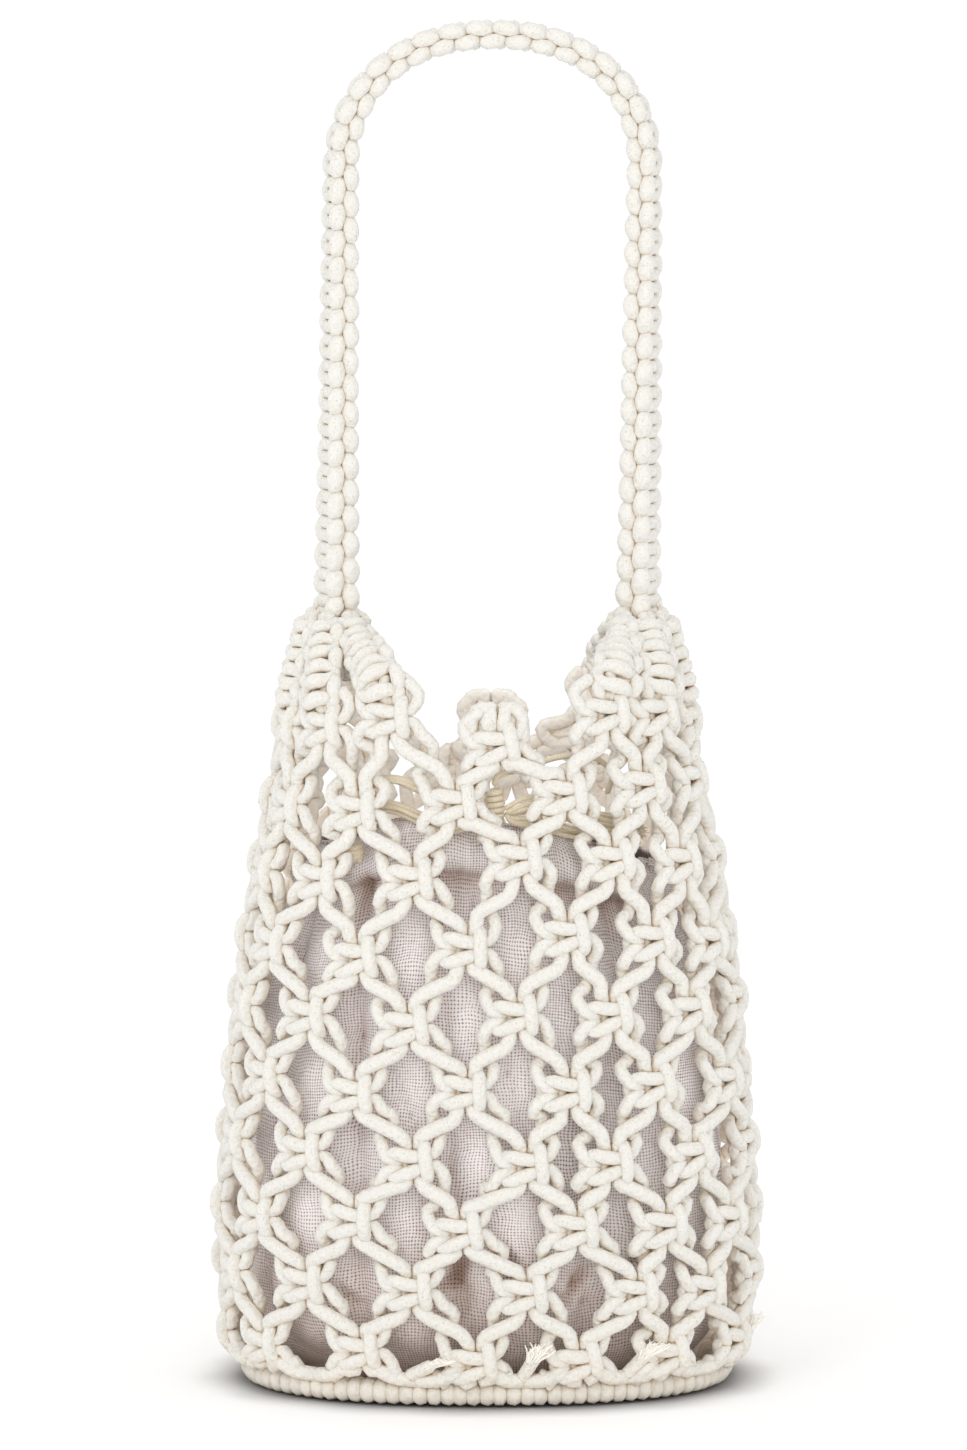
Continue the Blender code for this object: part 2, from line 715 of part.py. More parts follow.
def lower_by_dip(place, share, draw_in):
    """Lower a place on the pouch where its mouth hangs down, on the right."""
    across = max(place.x, 0.0) / (BODY_HALF_WIDTH - draw_in)
    place.z -= POUCH_MOUTH_DIP * share ** 4 * across ** 2
    return place


def pouch_ring(section, inset, floor):
    """One ring of the pouch wall, with its folds and the dip of its mouth."""
    ring = []
    fold_depth = section["fold"] * POUCH_FOLD_DEPTH
    for i in range(POUCH_SIDES):
        step = KNOTS_ROUND * i / POUCH_SIDES
        turn = 2 * math.pi * i / POUCH_SIDES
        fold = 0.5 - 0.5 * math.cos(POUCH_FOLDS * turn)
        height = floor + section["height"] * (POUCH_HEIGHT - floor)
        draw_in = (KNOT_EDGE / 2 + POUCH_CLEARANCE + inset + fold * fold_depth
                   + section["draw_in"] * BODY_HALF_DEPTH)
        ring.append(lower_by_dip(level_point(step, height, draw_in), section["height"],
                                 draw_in))
    return ring


def build_pouch(finish):
    """Hollow linen bag, closed at the bottom and open at its drawn-in mouth."""
    floor = BASE_THICKNESS + GAP
    outer = [pouch_ring(section, 0.0, floor) for section in POUCH_SECTIONS]
    inner = [pouch_ring(section, POUCH_WALL, floor + POUCH_WALL) for section in POUCH_SECTIONS]
    for place, edge in zip(inner[-1], outer[-1]):
        place.z = edge.z
    bm = bmesh.new()
    add_rings(bm, outer + list(reversed(inner)))
    return add_object("pouch", bm, finish)


def place_on_cord(row):
    """Position of a hand-chosen place on the drawstring."""
    return Vector((row["across"] * BODY_HALF_WIDTH, row["back"] * BODY_HALF_DEPTH,
                   row["up"] * POUCH_HEIGHT))


def smooth_route(route, diameter):
    """Points on one smooth curve through a route, a few diameters apart."""
    points = [place_on_cord(row) for row in route]
    ends = [points[0] * 2 - points[1]] + points + [points[-1] * 2 - points[-2]]
    fine = []
    pieces = 12
    for a, b, c, d in zip(ends, ends[1:], ends[2:], ends[3:]):
        for i in range(pieces):
            t = i / pieces
            fine.append(0.5 * (2 * b + (c - a) * t + (2 * a - 5 * b + 4 * c - d) * t ** 2
                               + (3 * b - a - 3 * c + d) * t ** 3))
    fine.append(points[-1])
    count = max(4, round(path_length(fine) / (CORD_STEP * diameter)) + 1)
    return [point for point, way in along_path(fine, count)]


def build_cord(name, points, diameter, finish):
    """Round cord along a run of points."""
    curve = bpy.data.curves.new(name, "CURVE")
    curve.dimensions = "3D"
    curve.bevel_depth = diameter / 2
    curve.bevel_resolution = 2
    curve.use_fill_caps = True
    curve.materials.append(finish)
    spline = curve.splines.new("POLY")
    spline.points.add(len(points) - 1)
    for target, point in zip(spline.points, points):
        target.co = (*point, 1.0)
    thing = bpy.data.objects.new(name, curve)
    bpy.context.scene.collection.objects.link(thing)
    return thing


def neck_route():
    """Places round the drawn-in neck of the pouch, from under the front knot and back to it."""
    section = POUCH_SECTIONS[-2]
    draw_in = (KNOT_EDGE / 2 + POUCH_CLEARANCE + section["draw_in"] * BODY_HALF_DEPTH
               - CORD_NECK / 2 - NECK_CLEARANCE)
    height = BASE_THICKNESS + section["height"] * (POUCH_HEIGHT - BASE_THICKNESS)
    under = place_on_cord(CORD_KNOT_PLACE) - Vector((0, 0, CORD_KNOT_HEIGHT / 2 + GAP))
    side = Vector((NECK_SPREAD * CORD_KNOT_WIDTH, 0, 0))
    drop = Vector((0, 0, CORD_NECK))
    points = [under + side, under + side - drop]
    for i in range(NECK_PLACES):
        step = NECK_START + (KNOTS_ROUND - 2 * NECK_START) * i / (NECK_PLACES - 1)
        points.append(lower_by_dip(level_point(step, height, draw_in), section["height"],
                                   draw_in))
    return points + [under - side - drop, under - side]


def add_barrel(name, centre, sizes, finish):
    """Upright barrel with rounded ends."""
    width, depth, height = sizes
    rings = []
    for section in BARREL_SECTIONS:
        ring = []
        for i in range(BARREL_SIDES):
            angle = 2 * math.pi * (i + 0.5) / BARREL_SIDES
            ring.append(centre + Vector((math.cos(angle) * width / 2 * section["swell"],
                                         math.sin(angle) * depth / 2 * section["swell"],
                                         section["height"] * height)))
        rings.append(ring)
    bm = bmesh.new()
    add_rings(bm, rings)
    return add_object(name, bm, finish)


def add_flare(name, root, directions, length, root_width, tip_width, finish):
    """Short frayed end that widens towards its tip."""
    way, across, other = directions
    rings = []
    for section in FLARE_SECTIONS:
        width = section["size"] * (root_width + section["spread"] * (tip_width - root_width))
        centre = root + way * (section["place"] * length)
        ring = []
        for i in range(FLARE_SIDES):
            angle = 2 * math.pi * i / FLARE_SIDES
            ring.append(centre + across * (math.cos(angle) * width / 2)
                        + other * (math.sin(angle) * width / 2))
        rings.append(ring)
    bm = bmesh.new()
    add_rings(bm, rings)
    return add_object(name, bm, finish)


def build_drawstring(finish):
    """Waxed cord round the neck, its front knot, two tails, a loop, a stop and a tuft."""
    build_cord("drawstring_neck", neck_route(), CORD_NECK, finish)
    add_barrel("drawstring_knot", place_on_cord(CORD_KNOT_PLACE),
               (CORD_KNOT_WIDTH, CORD_KNOT_DEPTH, CORD_KNOT_HEIGHT), finish)
    build_cord("drawstring_left", smooth_route(LEFT_ROUTE, CORD_BUNDLE), CORD_BUNDLE, finish)
    build_cord("drawstring_right", smooth_route(RIGHT_ROUTE, CORD_BUNDLE), CORD_BUNDLE, finish)
    build_cord("drawstring_loop", smooth_route(LOOP_ROUTE, CORD_LOOP), CORD_LOOP, finish)
    add_barrel("drawstring_stop", place_on_cord(CORD_STOP_PLACE),
               (CORD_STOP_WIDTH, CORD_KNOT_DEPTH, CORD_STOP_HEIGHT), finish)
    before, last = smooth_route(RIGHT_ROUTE, CORD_BUNDLE)[-2:]
    way = (last - before).normalized()
    across = way.cross(Vector((0.0, 0.0, 1.0))).normalized()
    add_flare("drawstring_tuft", last + way * GAP, (way, across, way.cross(across)),
              TUFT_LENGTH, CORD_BUNDLE, TUFT_WIDTH, finish)


def build_rope_ends(finish):
    """Short frayed ends of rope that stand on the feet of the net."""
    for end in ROPE_ENDS:
        step = ROW_STEPS[-2][end["column"] % (2 * KNOTS_ROUND)]
        point, along, up, out = wall_frame(step, foot_height())
        root = point + up * (FOOT_HEIGHT / 2 + ROPE_END_LIFT)
        way = (along * end["along"] + up * end["up"] + out * end["out"]).normalized()
        add_flare(end["name"], root, (way, along, out), ROPE_END_LENGTH, ROPE_END_ROOT,
                  ROPE_END_TIP, finish)


def main():
    """Build every piece of the bag."""
    clear_scene()
    rope = material("cotton_rope", (0.90, 0.88, 0.83), 0.9)
    linen = material("linen", (0.60, 0.54, 0.53), 0.95)
    waxed = material("waxed_cord", (0.56, 0.47, 0.31), 0.7)
    build_net(rope)
    build_rim(rope)
    build_base(rope)
    build_shoulders(rope)
    build_handle(rope)
    for place, column in PICOT_COLUMNS.items():
        for side, label in ((-1, "a"), (1, "b")):
            build_picot(f"picot_{place}_{label}", column, side, rope)
    build_pouch(linen)
    build_drawstring(waxed)
    build_rope_ends(rope)


main()
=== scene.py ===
"""
Net bag of knotted cotton rope round a linen pouch, with its drawstring, on a pale floor.

Every rope is a round tube along its own path: the net, the shoulders and the handle are tied
from the same square knot. Lengths are in metres unless a table says otherwise.
"""
import math

import bpy
import numpy as np
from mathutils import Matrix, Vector


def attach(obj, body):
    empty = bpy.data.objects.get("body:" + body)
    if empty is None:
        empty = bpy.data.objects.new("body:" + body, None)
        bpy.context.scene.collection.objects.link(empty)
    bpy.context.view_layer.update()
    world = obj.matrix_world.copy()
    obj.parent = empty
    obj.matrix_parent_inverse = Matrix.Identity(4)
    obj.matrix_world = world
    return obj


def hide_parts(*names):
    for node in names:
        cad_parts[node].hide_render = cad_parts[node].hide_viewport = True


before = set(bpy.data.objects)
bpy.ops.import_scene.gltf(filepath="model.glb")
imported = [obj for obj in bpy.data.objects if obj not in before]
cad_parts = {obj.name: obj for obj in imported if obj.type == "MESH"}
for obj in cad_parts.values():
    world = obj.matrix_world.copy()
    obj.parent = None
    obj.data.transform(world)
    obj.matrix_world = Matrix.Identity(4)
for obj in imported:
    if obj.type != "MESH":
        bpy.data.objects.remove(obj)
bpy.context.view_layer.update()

random = np.random.default_rng(7)

# Net body, over the knots
BODY_HALF_WIDTH = 0.1164
BODY_HALF_DEPTH = 0.0838
NET_HEIGHT = 0.278
OVAL_POWER = 2.3
KNOTS_ROUND = 14
KNOT_THICKNESS = 0.013
KNOT_HEIGHT = 0.017
KNOT_EDGE = 0.0095
ROPE_RADIUS = 0.0030
SIDE_SHARE = 0.62

# Rim, base, shoulders and handle
RIM_HEIGHT = 0.011
RIM_WIDTH = 0.012
RIM_SPREAD = 0.895
RIM_PITCH = 0.0055
RIM_ROPE = 0.0037
RIM_CORE_ROPE = 0.0026
RIM_UNEVENNESS = 0.045
RIM_SQUARENESS = 0.7
RIM_WRAP_POINTS = 18
BASE_THICKNESS = 0.005
BASE_PITCH = 0.0066
BASE_ROPE = 0.0030
BASE_WAVE = 0.0009
BASE_CLEARANCE = 0.0015
GAP = 0.0003
GATHER_BOTTOM = 0.3055
GATHER_TOP = 0.3152
GATHER_WIDTH = 0.0215
GATHER_DEPTH = 0.031
SINNET_BEND = 0.010
SINNET_LEAN = 0.60
SINNET_SHIFT = 0.0048
SINNET_CLIMB = 0.0150
SINNET_ARCH = 0.006
SINNET_PITCH = 0.0112
FAN_HALF_WIDTH = 0.0112
FAN_HALF_DEPTH = 0.0168
HANDLE_HALF_SPAN = 0.0633
HANDLE_TOP = 0.5727
HANDLE_ARCH_HEIGHT = 0.056
HANDLE_ARCH_POWER = 2.2
HANDLE_THICKNESS = 0.0152
HANDLE_HALF_WIDTH = 0.0093
HANDLE_HALF_DEPTH = 0.0048
HANDLE_ROPE = 0.0029
HANDLE_CORE_ROPE = 0.0034
HANDLE_CORES = (0.0052, 0.0, -0.0052)
HANDLE_RIB = 0.0110
HANDLE_CROWN_THINNING = 0.13
HANDLE_TWIST = 16.0
HANDLE_FOOT_SWELL = 0.32
HANDLE_FOOT_REACH = 0.016
HANDLE_LEAN = 0.003
PICOT_SPREAD = 0.0122
PICOT_REACH = 0.0114
PICOT_RISE = 0.0092
PICOT_ROPE = 0.0027
END_ROPE = 0.0028
END_STUB = 0.0085

# Half width, half depth, rope radius and core offset of a sinnet at its gather, and what each gains
# down to the net
SINNET_HALF_WIDTH = (0.0054, 0.0038)
SINNET_HALF_DEPTH = (0.0032, 0.0010)
SINNET_ROPE = (0.0029, 0.0002)
SINNET_CORE_OFFSET = (0.0012, 0.0012)
SINNET_CORE_ROPE = 0.0026

# Distance between the rings of a rope's tube
NET_SPACING = 0.0024
CHAIN_SPACING = 0.0022
LAP_SPACING = 0.0018

# Pouch and drawstring
POUCH_WALL = 0.0016
POUCH_HEIGHT = 0.2295
POUCH_CLEARANCE = 0.0016
POUCH_FOLDS = 9
POUCH_FOLD_DEPTH = 0.0110
POUCH_CREASE_DEPTH = 0.0052
CASING_RISE = 0.0056
CASING_PLEAT = 0.0009
POUCH_NECK = 0.915
POUCH_COLUMNS = 264
POUCH_PLEATS = 51
CASING_HEIGHT = 0.078
LINEN_PITCH = 0.138
CORD_NECK = 0.0030
CORD_BUNDLE = 0.0050
CORD_LOOP = 0.0024
CORD_STRAND = 0.0022
CORD_LIFT = 0.0095
CORD_LAY = 0.0062
CORD_SPACING = 0.0009
CORD_KNOT_WIDTH = 0.0085
CORD_KNOT_HEIGHT = 0.0175
CORD_PLIES = 3

# Height as a share of NET_HEIGHT, reach as a share of the half width and depth
OUTLINE = ((0.00, 0.870), (0.02, 0.915), (0.05, 0.962), (0.15, 0.992), (0.24, 1.000),
           (0.36, 0.984), (0.48, 0.955), (0.60, 0.928), (0.72, 0.882), (0.84, 0.828),
           (0.92, 0.786), (1.00, 0.755), (1.10, 0.720))

# Rows of knots: height share, first column in half steps, steps from the middle of the front,
# and how far each knot is lifted as a share of the net's height
ROWS = (
    (1.000, -8, (-3.65, -2.95, -2.14, -1.24, 0.13, 1.55, 2.30, 3.30, 4.15, 4.85, 5.55, 6.95, 8.40, 9.35),
     (0.000, 0.000, 0.008, 0.026, -0.012, 0.034, 0.026, 0.006, 0.000, 0.004, 0.006, -0.034, 0.006, 0.004)),
    (0.906, -5, (-2.60, -1.55, -0.38, 0.94, 1.96), (-0.020, -0.020, -0.004, 0.008, 0.016)),
    (0.804, -4, (-1.92, -0.83, 0.37, 1.43, 2.34), (-0.024, -0.015, 0.017, 0.011, -0.002)),
    (0.690, -5, (-2.48, -1.37, -0.22, 0.86, 1.81, 2.65), (-0.009, -0.018, 0.001, 0.018, 0.005, -0.009)),
    (0.586, -4, (-1.88, -0.80, 0.30, 1.26, 2.19), (-0.004, -0.011, 0.005, 0.003, -0.001)),
    (0.477, -5, (-2.38, -1.33, -0.21, 0.81, 1.69, 2.68), (0.006, -0.007, 0.001, 0.002, 0.003, -0.006)),
    (0.376, -4, (-1.83, -0.72, 0.38, 1.20, 2.10), (0.005, -0.002, -0.006, -0.007, -0.007)),
    (0.274, -5, (-2.34, -1.29, -0.25, 0.85, 1.74, 2.56), (-0.001, 0.009, -0.003, 0.000, -0.003, -0.009)),
    (0.174, -4, (-1.78, -0.72, 0.37, 1.44, 2.22), (0.007, 0.006, 0.002, -0.002, -0.008)),
    (0.078, -5, (-2.34, -1.24, -0.11, 0.91, 1.82), (0.001, 0.006, -0.004, -0.004, -0.005)),
)

# Paths through one square knot, in mm: across, up, out and radius
KNOT_PATHS = {
    "left_core": ((-3.6, 8.6, 1.4, 3.05), (-2.3, 4.6, -0.2, 2.90), (-2.2, 0.6, -0.5, 2.75),
                  (-2.0, -3.0, -0.4, 2.75), (-2.0, -6.4, 0.5, 2.90), (-2.7, -9.6, 1.8, 3.05)),
    "right_core": ((3.2, 9.4, 1.4, 3.05), (2.4, 5.2, -0.2, 2.90), (2.4, 1.4, -0.5, 2.75),
                   (2.4, -2.4, -0.5, 2.75), (2.6, -5.8, 0.4, 2.90), (4.0, -8.8, 1.8, 3.05)),
    "over": ((11.1, 9.7, -0.6, 2.85), (9.2, 4.2, 0.2, 2.75), (5.9, 2.3, 1.8, 2.65),
             (2.5, 1.9, 3.1, 2.85), (-3.1, 2.5, 3.7, 2.95), (-6.9, 3.3, 2.8, 2.75),
             (-9.6, 2.0, 0.6, 2.60), (-10.4, -1.8, -1.2, 2.60), (-9.4, -5.8, 0.4, 2.60),
             (-6.7, -6.9, 2.6, 2.75), (-2.5, -5.2, 3.7, 2.95), (2.6, -3.0, 3.1, 2.85),
             (5.9, -1.6, 1.6, 2.65), (9.8, -1.9, 0.2, 2.75), (13.0, -6.2, -0.7, 2.85)),
    "under": ((-13.4, 8.2, -1.2, 2.85), (-11.2, 2.1, 1.3, 2.85), (-7.8, -0.2, 1.6, 2.60),
              (-4.4, -0.4, -1.0, 2.40), (-0.4, 1.3, -3.4, 2.60), (3.2, 5.4, -2.8, 2.65),
              (4.6, 7.4, 0.9, 2.75), (5.3, 4.2, 4.1, 2.95), (5.8, 0.0, 4.7, 3.00),
              (6.4, -4.0, 4.1, 2.95), (6.2, -7.3, 0.9, 2.75), (3.6, -5.6, -2.8, 2.65),
              (-0.2, -3.8, -3.4, 2.60), (-4.2, -3.4, -1.2, 2.40), (-7.8, -3.2, 1.6, 2.60),
              (-11.2, -5.0, 1.5, 2.85), (-13.9, -10.0, -0.5, 2.85)),
}

# Paths between two knots: share of the way across and down, out in mm and radius in mm
EDGE_PATHS = {
    "left_core": ((0.23, 0.43, 2.2, 3.15), (0.52, 0.53, 2.5, 3.15), (0.80, 0.64, 2.2, 3.15)),
    "right_core": ((0.25, 0.38, 2.2, 3.15), (0.50, 0.49, 2.5, 3.15), (0.76, 0.61, 2.2, 3.15)),
    "over": ((0.65, 0.35, -1.9, 2.90), (0.60, 0.51, -2.3, 2.90), (0.43, 0.67, -1.8, 2.90)),
    "under": ((0.63, 0.36, -1.7, 2.90), (0.63, 0.51, -2.3, 2.90), (0.54, 0.65, -1.8, 2.90)),
}

# Paths from the lowest knots into the rim, in the same columns
FOOT_PATHS = {
    "left_core": ((0.30, 0.62, 2.0, 3.15), (0.62, 0.86, 1.6, 3.15), (0.95, 0.98, 0.0, 3.05),
                  (1.06, 1.30, -4.0, 3.00)),
    "right_core": ((0.30, 0.60, 2.0, 3.15), (0.60, 0.84, 1.6, 3.15), (0.92, 0.98, 0.0, 3.05),
                   (1.02, 1.30, -4.0, 3.00)),
    "over": ((0.60, 0.55, 0.4, 2.90), (0.66, 0.85, 0.0, 2.90), (0.62, 1.25, -3.0, 2.85)),
    "under": ((0.60, 0.60, 0.4, 2.90), (0.66, 0.88, 0.0, 2.90), (0.62, 1.25, -3.0, 2.85)),
}

# Where each rope of a knot goes next: columns to the side, and its part in the knot there
NEXT_PART = {"left_core": (-1, "right_core"), "right_core": (1, "left_core"),
             "over": (1, "under"), "under": (-1, "over")}

# Square knots in a chain: across as a share of its half width, up as a share of the pitch,
# out as a share of its half thickness, radius as a share of the rope's
SINNET_CHAIN = {
    "over": ((0.90, 0.50, 0.10, 0.92), (0.62, 0.31, 0.60, 0.90), (0.22, 0.25, 1.15, 1.10),
             (-0.22, 0.26, 1.15, 1.10), (-0.66, 0.28, 0.72, 0.90), (-1.00, 0.12, 0.05, 0.85),
             (-1.00, -0.12, 0.05, 0.85), (-0.66, -0.28, 0.72, 0.90),
             (-0.22, -0.26, 1.15, 1.10), (0.22, -0.25, 1.15, 1.10), (0.62, -0.31, 0.60, 0.90)),
    "under": ((-1.02, 0.50, 0.55, 0.95), (-0.80, 0.22, -0.10, 0.88), (-0.22, 0.26, -1.00, 0.92),
              (0.22, 0.26, -1.00, 0.92), (0.74, 0.34, -0.20, 0.90), (1.02, 0.15, 0.55, 0.98),
              (1.06, 0.00, 0.75, 1.04), (1.02, -0.15, 0.55, 0.98), (0.74, -0.34, -0.20, 0.90),
              (0.22, -0.26, -1.00, 0.92), (-0.22, -0.26, -1.00, 0.92),
              (-0.80, -0.22, -0.10, 0.88)),
}
# Handle: strands that lap along its edges, and bars that cross its faces
HANDLE_LAPS = ((0.60, 0.50, 0.30, 0.98), (0.92, 0.34, 0.62, 1.18), (1.06, 0.10, 0.68, 1.32),
               (1.02, -0.14, 0.56, 1.28), (0.82, -0.34, 0.30, 1.06))
HANDLE_BARS = ((0.70, 0.28, 0.66, 1.00), (0.20, 0.24, 0.86, 1.06), (-0.20, 0.24, 0.86, 1.06),
               (-0.70, 0.20, 0.66, 1.00), (-0.84, 0.00, 0.40, 0.95), (-0.70, -0.20, 0.66, 1.00),
               (-0.20, -0.26, 0.86, 1.06), (0.20, -0.26, 0.86, 1.06), (0.70, -0.28, 0.66, 1.00),
               (0.84, -0.50, 0.40, 0.95))

# Sinnets of the right shoulder: column under each and its place round the fan, in degrees
SINNETS = ((2, -124.0), (4, -71.0), (6, -25.0), (8, 18.0), (10, 75.0), (12, 126.0))

# Pouch: height share, how far it draws in as a share of BODY_HALF_DEPTH, fold share
POUCH_SECTIONS = ((0.000, 0.200, 0.2), (0.035, 0.110, 0.5), (0.080, 0.035, 0.8),
                  (0.135, 0.002, 0.9), (0.330, 0.000, 1.0),
                  (0.620, 0.000, 0.9), (0.790, 0.020, 0.9), (0.900, 0.090, 1.0),
                  (0.955, 0.150, 1.0), (1.000, 0.130, 1.0))

# Pinched tucks low in the front of the pouch, in mm: across, height, half length, lean in
# degrees, depth
POUCH_TUCKS = ((-11.5, 57.0, 9.0, 22.0, 5.0), (-18.0, 50.0, 8.0, 68.0, 3.5),
               (9.5, 61.0, 10.0, -38.0, 5.0), (38.5, 49.0, 9.0, 30.0, 5.0),
               (31.0, 44.0, 8.0, -60.0, 3.5), (-62.0, 44.0, 8.0, -50.0, 4.0),
               (66.0, 60.0, 9.0, 35.0, 4.0))
TUCK_WIDTH = 2.3

# Strength of the painted glow on the ropes behind the mouth, which stands in for light that the pale cloth
# of the pouch throws on them
INNER_PAINTED_GLOW = 0.24

# Rim of the pouch at the front, and behind it: across as a share of the half width, lift in mm
POUCH_MOUTH = ((-1.00, -2.0, 0.0), (-0.54, 0.0, 0.0), (-0.31, 12.5, 0.0), (0.09, 9.5, 0.0),
               (0.40, 0.0, -3.5), (0.65, -15.0, -9.0), (1.00, -20.0, -20.0))

# Drawstring strands in mm aside of and above their route: the bundle, and the loose ones
BUNDLE_STRANDS = ((0.0, 1.3), (1.1, -0.8), (-1.1, -0.8))
LEFT_STRANDS = ((0.6, -10.4), (-0.7, -12.0), (0.2, -14.2))
RIGHT_STRANDS = ((0.7, -3.6), (-0.6, -5.4), (0.8, -8.6), (-0.7, -10.4), (0.2, -12.2))

# Drawstring routes: across, back and up as shares of the body's half width, its half depth
# and the pouch's height
CORD_KNOT_PLACE = (0.026, -0.599, 1.0349)
CORD_STOP_PLACE = (-0.479, -0.544, 0.9542)
LEFT_ROUTE = (
    (-0.018, -0.597, 1.0336), (-0.110, -0.585, 1.0405), (-0.232, -0.573, 1.0675),
    (-0.335, -0.561, 1.0858), (-0.430, -0.537, 1.0719), (-0.485, -0.525, 1.0414),
    (-0.481, -0.539, 1.0022), (-0.479, -0.544, 0.9782),
)
RIGHT_ROUTE = (
    (0.070, -0.597, 1.0300), (0.145, -0.591, 1.0470), (0.232, -0.585, 1.0450),
    (0.335, -0.563, 1.0270), (0.430, -0.516, 1.0120), (0.490, -0.468, 0.9978),
)
LOOP_ROUTE = (
    (0.026, -0.599, 1.0789), (0.032, -0.599, 1.0893), (0.060, -0.597, 1.1002),
    (0.129, -0.591, 1.1089), (0.266, -0.537, 1.1264), (0.378, -0.465, 1.1220),
    (0.447, -0.394, 1.0893), (0.430, -0.370, 1.0545),
)

# Cut rope ends: column of the foot, and the way each points along, up and out of the wall
ROPE_ENDS = (("rope_end_left", -2, 0.95, 0.55, 0.22), ("rope_end_middle", 0, 0.45, 0.90, 0.25),
             ("rope_end_right", 2, 0.60, 0.80, 0.20), ("rope_end_side", 6, 0.35, 0.95, 0.30))

# Loose fibres of the rope ends and of the drawstring's tuft
GOLDEN_TURN = 2.39996
FRAY_SWAY = 0.0006
END_FRAY = {"length": 0.0100, "root_width": 0.0050, "tip_width": 0.0110, "count": 44,
            "thickness": 0.0006}
TUFT_FRAY = {"length": 0.0115, "root_width": CORD_BUNDLE, "tip_width": 0.0075, "count": 60,
             "thickness": 0.0003}

# Strands of a gather: height, reach as a share of its half size, turn in radians, share of sway
GATHER_ROWS = ((GATHER_TOP + 0.0075, 0.45, -0.25, 0.0), (GATHER_TOP + 0.001, 0.86, 0.0, 0.0),
               (GATHER_BOTTOM + 0.004, 1.02, 0.15, 1.0), (GATHER_BOTTOM - 0.003, 1.02, 0.25, 1.0),
               (GATHER_BOTTOM - 0.008, 0.85, 0.3, 1.0))
GATHER_STRANDS = 12

# Wound knots of the drawstring: width, depth, height, cord diameter and turns
KNOT_WRAPS = (0.0092, 0.0086, 0.0180, 0.0025, 6.2)
STOP_WRAPS = (0.0100, 0.0082, 0.0096, 0.0026, 3.6)
KNOT_CORE = (0.0075, 0.0022)
STOP_CORE = (0.0035, 0.0024)


# Wall of the net

def curve(share, start, end, leave, arrive):
    """Points on a cubic curve from start to end, with the steps in which it leaves and arrives."""
    square = share ** 2
    cube = share ** 3
    return ((2 * cube - 3 * square + 1) * start + (cube - 2 * square + share) * leave
            + (3 * square - 2 * cube) * end + (cube - square) * arrive)


def through(table, value, column):
    """Smooth values of a table's column, on a curve through its rows."""
    keys = np.array([row[0] for row in table])
    values = np.array([row[column] for row in table])
    value = np.clip(np.asarray(value, float), keys[0], keys[-1])
    low = np.clip(np.searchsorted(keys, value, side="right") - 1, 0, len(keys) - 2)
    span = keys[low + 1] - keys[low]
    before = np.maximum(np.arange(len(keys)) - 1, 0)
    after = np.minimum(np.arange(len(keys)) + 1, len(keys) - 1)
    slope = (values[after] - values[before]) / (keys[after] - keys[before])
    return curve((value - keys[low]) / span, values[low], values[low + 1],
                 slope[low] * span, slope[low + 1] * span)


def oval(angle, half_width, half_depth):
    """Points of the rounded oval at angles from +X."""
    across = np.cos(angle)
    along = np.sin(angle)
    return (np.sign(across) * np.abs(across) ** (2 / OVAL_POWER) * half_width,
            np.sign(along) * np.abs(along) ** (2 / OVAL_POWER) * half_depth)


OVAL_ANGLES = -math.pi / 2 + 2 * math.pi * np.arange(1441) / 1440
OVAL_X, OVAL_Y = oval(OVAL_ANGLES, BODY_HALF_WIDTH - KNOT_THICKNESS / 2,
                      BODY_HALF_DEPTH - KNOT_THICKNESS / 2)
OVAL_SHARES = np.concatenate(([0.0], np.cumsum(np.hypot(np.diff(OVAL_X), np.diff(OVAL_Y)))))
OVAL_SHARES = OVAL_SHARES / OVAL_SHARES[-1]


def angle_at(step):
    """Angle of a place given in knot steps from the middle of the front."""
    return np.interp((np.asarray(step, float) / KNOTS_ROUND) % 1.0, OVAL_SHARES, OVAL_ANGLES)


def middle_point(step, height):
    """Points on the middle surface of the net wall."""
    step, height = np.broadcast_arrays(np.asarray(step, float), np.asarray(height, float))
    reach = through(OUTLINE, height / NET_HEIGHT, 1)
    x, y = oval(angle_at(step), reach * (BODY_HALF_WIDTH - KNOT_THICKNESS / 2),
                reach * (BODY_HALF_DEPTH - KNOT_THICKNESS / 2))
    return np.stack((x, y, height), axis=-1)


def unit(vectors):
    """Vectors at length one."""
    return vectors / np.maximum(np.linalg.norm(vectors, axis=-1, keepdims=True), 1e-12)


def wall_frame(step, height):
    """Middle points of the wall with their directions along, up and out."""
    step = np.asarray(step, float)
    height = np.asarray(height, float)
    along = unit(middle_point(step + 0.01, height) - middle_point(step - 0.01, height))
    rise = middle_point(step, height + 0.0005) - middle_point(step, height - 0.0005)
    out = unit(np.cross(along, rise))
    return middle_point(step, height), along, np.cross(out, along), out


def row_columns(first, known, turn):
    """Value of every knot of a row by column; the hidden ones are spaced evenly."""
    hidden = KNOTS_ROUND - len(known)
    stride = (known[0] + turn - known[-1]) / (hidden + 1)
    values = list(known) + [known[-1] + stride * (i + 1) for i in range(hidden)]
    return {(first + 2 * i) % (2 * KNOTS_ROUND): values[i] for i in range(KNOTS_ROUND)}


ROW_STEPS = [row_columns(first, steps, KNOTS_ROUND) for _, first, steps, _ in ROWS]
ROW_LIFTS = [row_columns(first, lifts, 0.0) for _, first, _, lifts in ROWS]


def knot_height(index, column):
    """Height of the middle of a knot above the ground."""
    return (ROWS[index][0] + ROW_LIFTS[index][column]) * NET_HEIGHT


def step_between(start, end):
    """Shortest way round from one step to another."""
    half = KNOTS_ROUND / 2
    return (end - start + half) % KNOTS_ROUND - half


# Meshes of rope

def lengths_along(points):
    """Length from the first point to each point of a run."""
    steps = np.linalg.norm(np.diff(np.asarray(points)[:, :3], axis=0), axis=1)
    return np.concatenate(([0.0], np.cumsum(steps)))


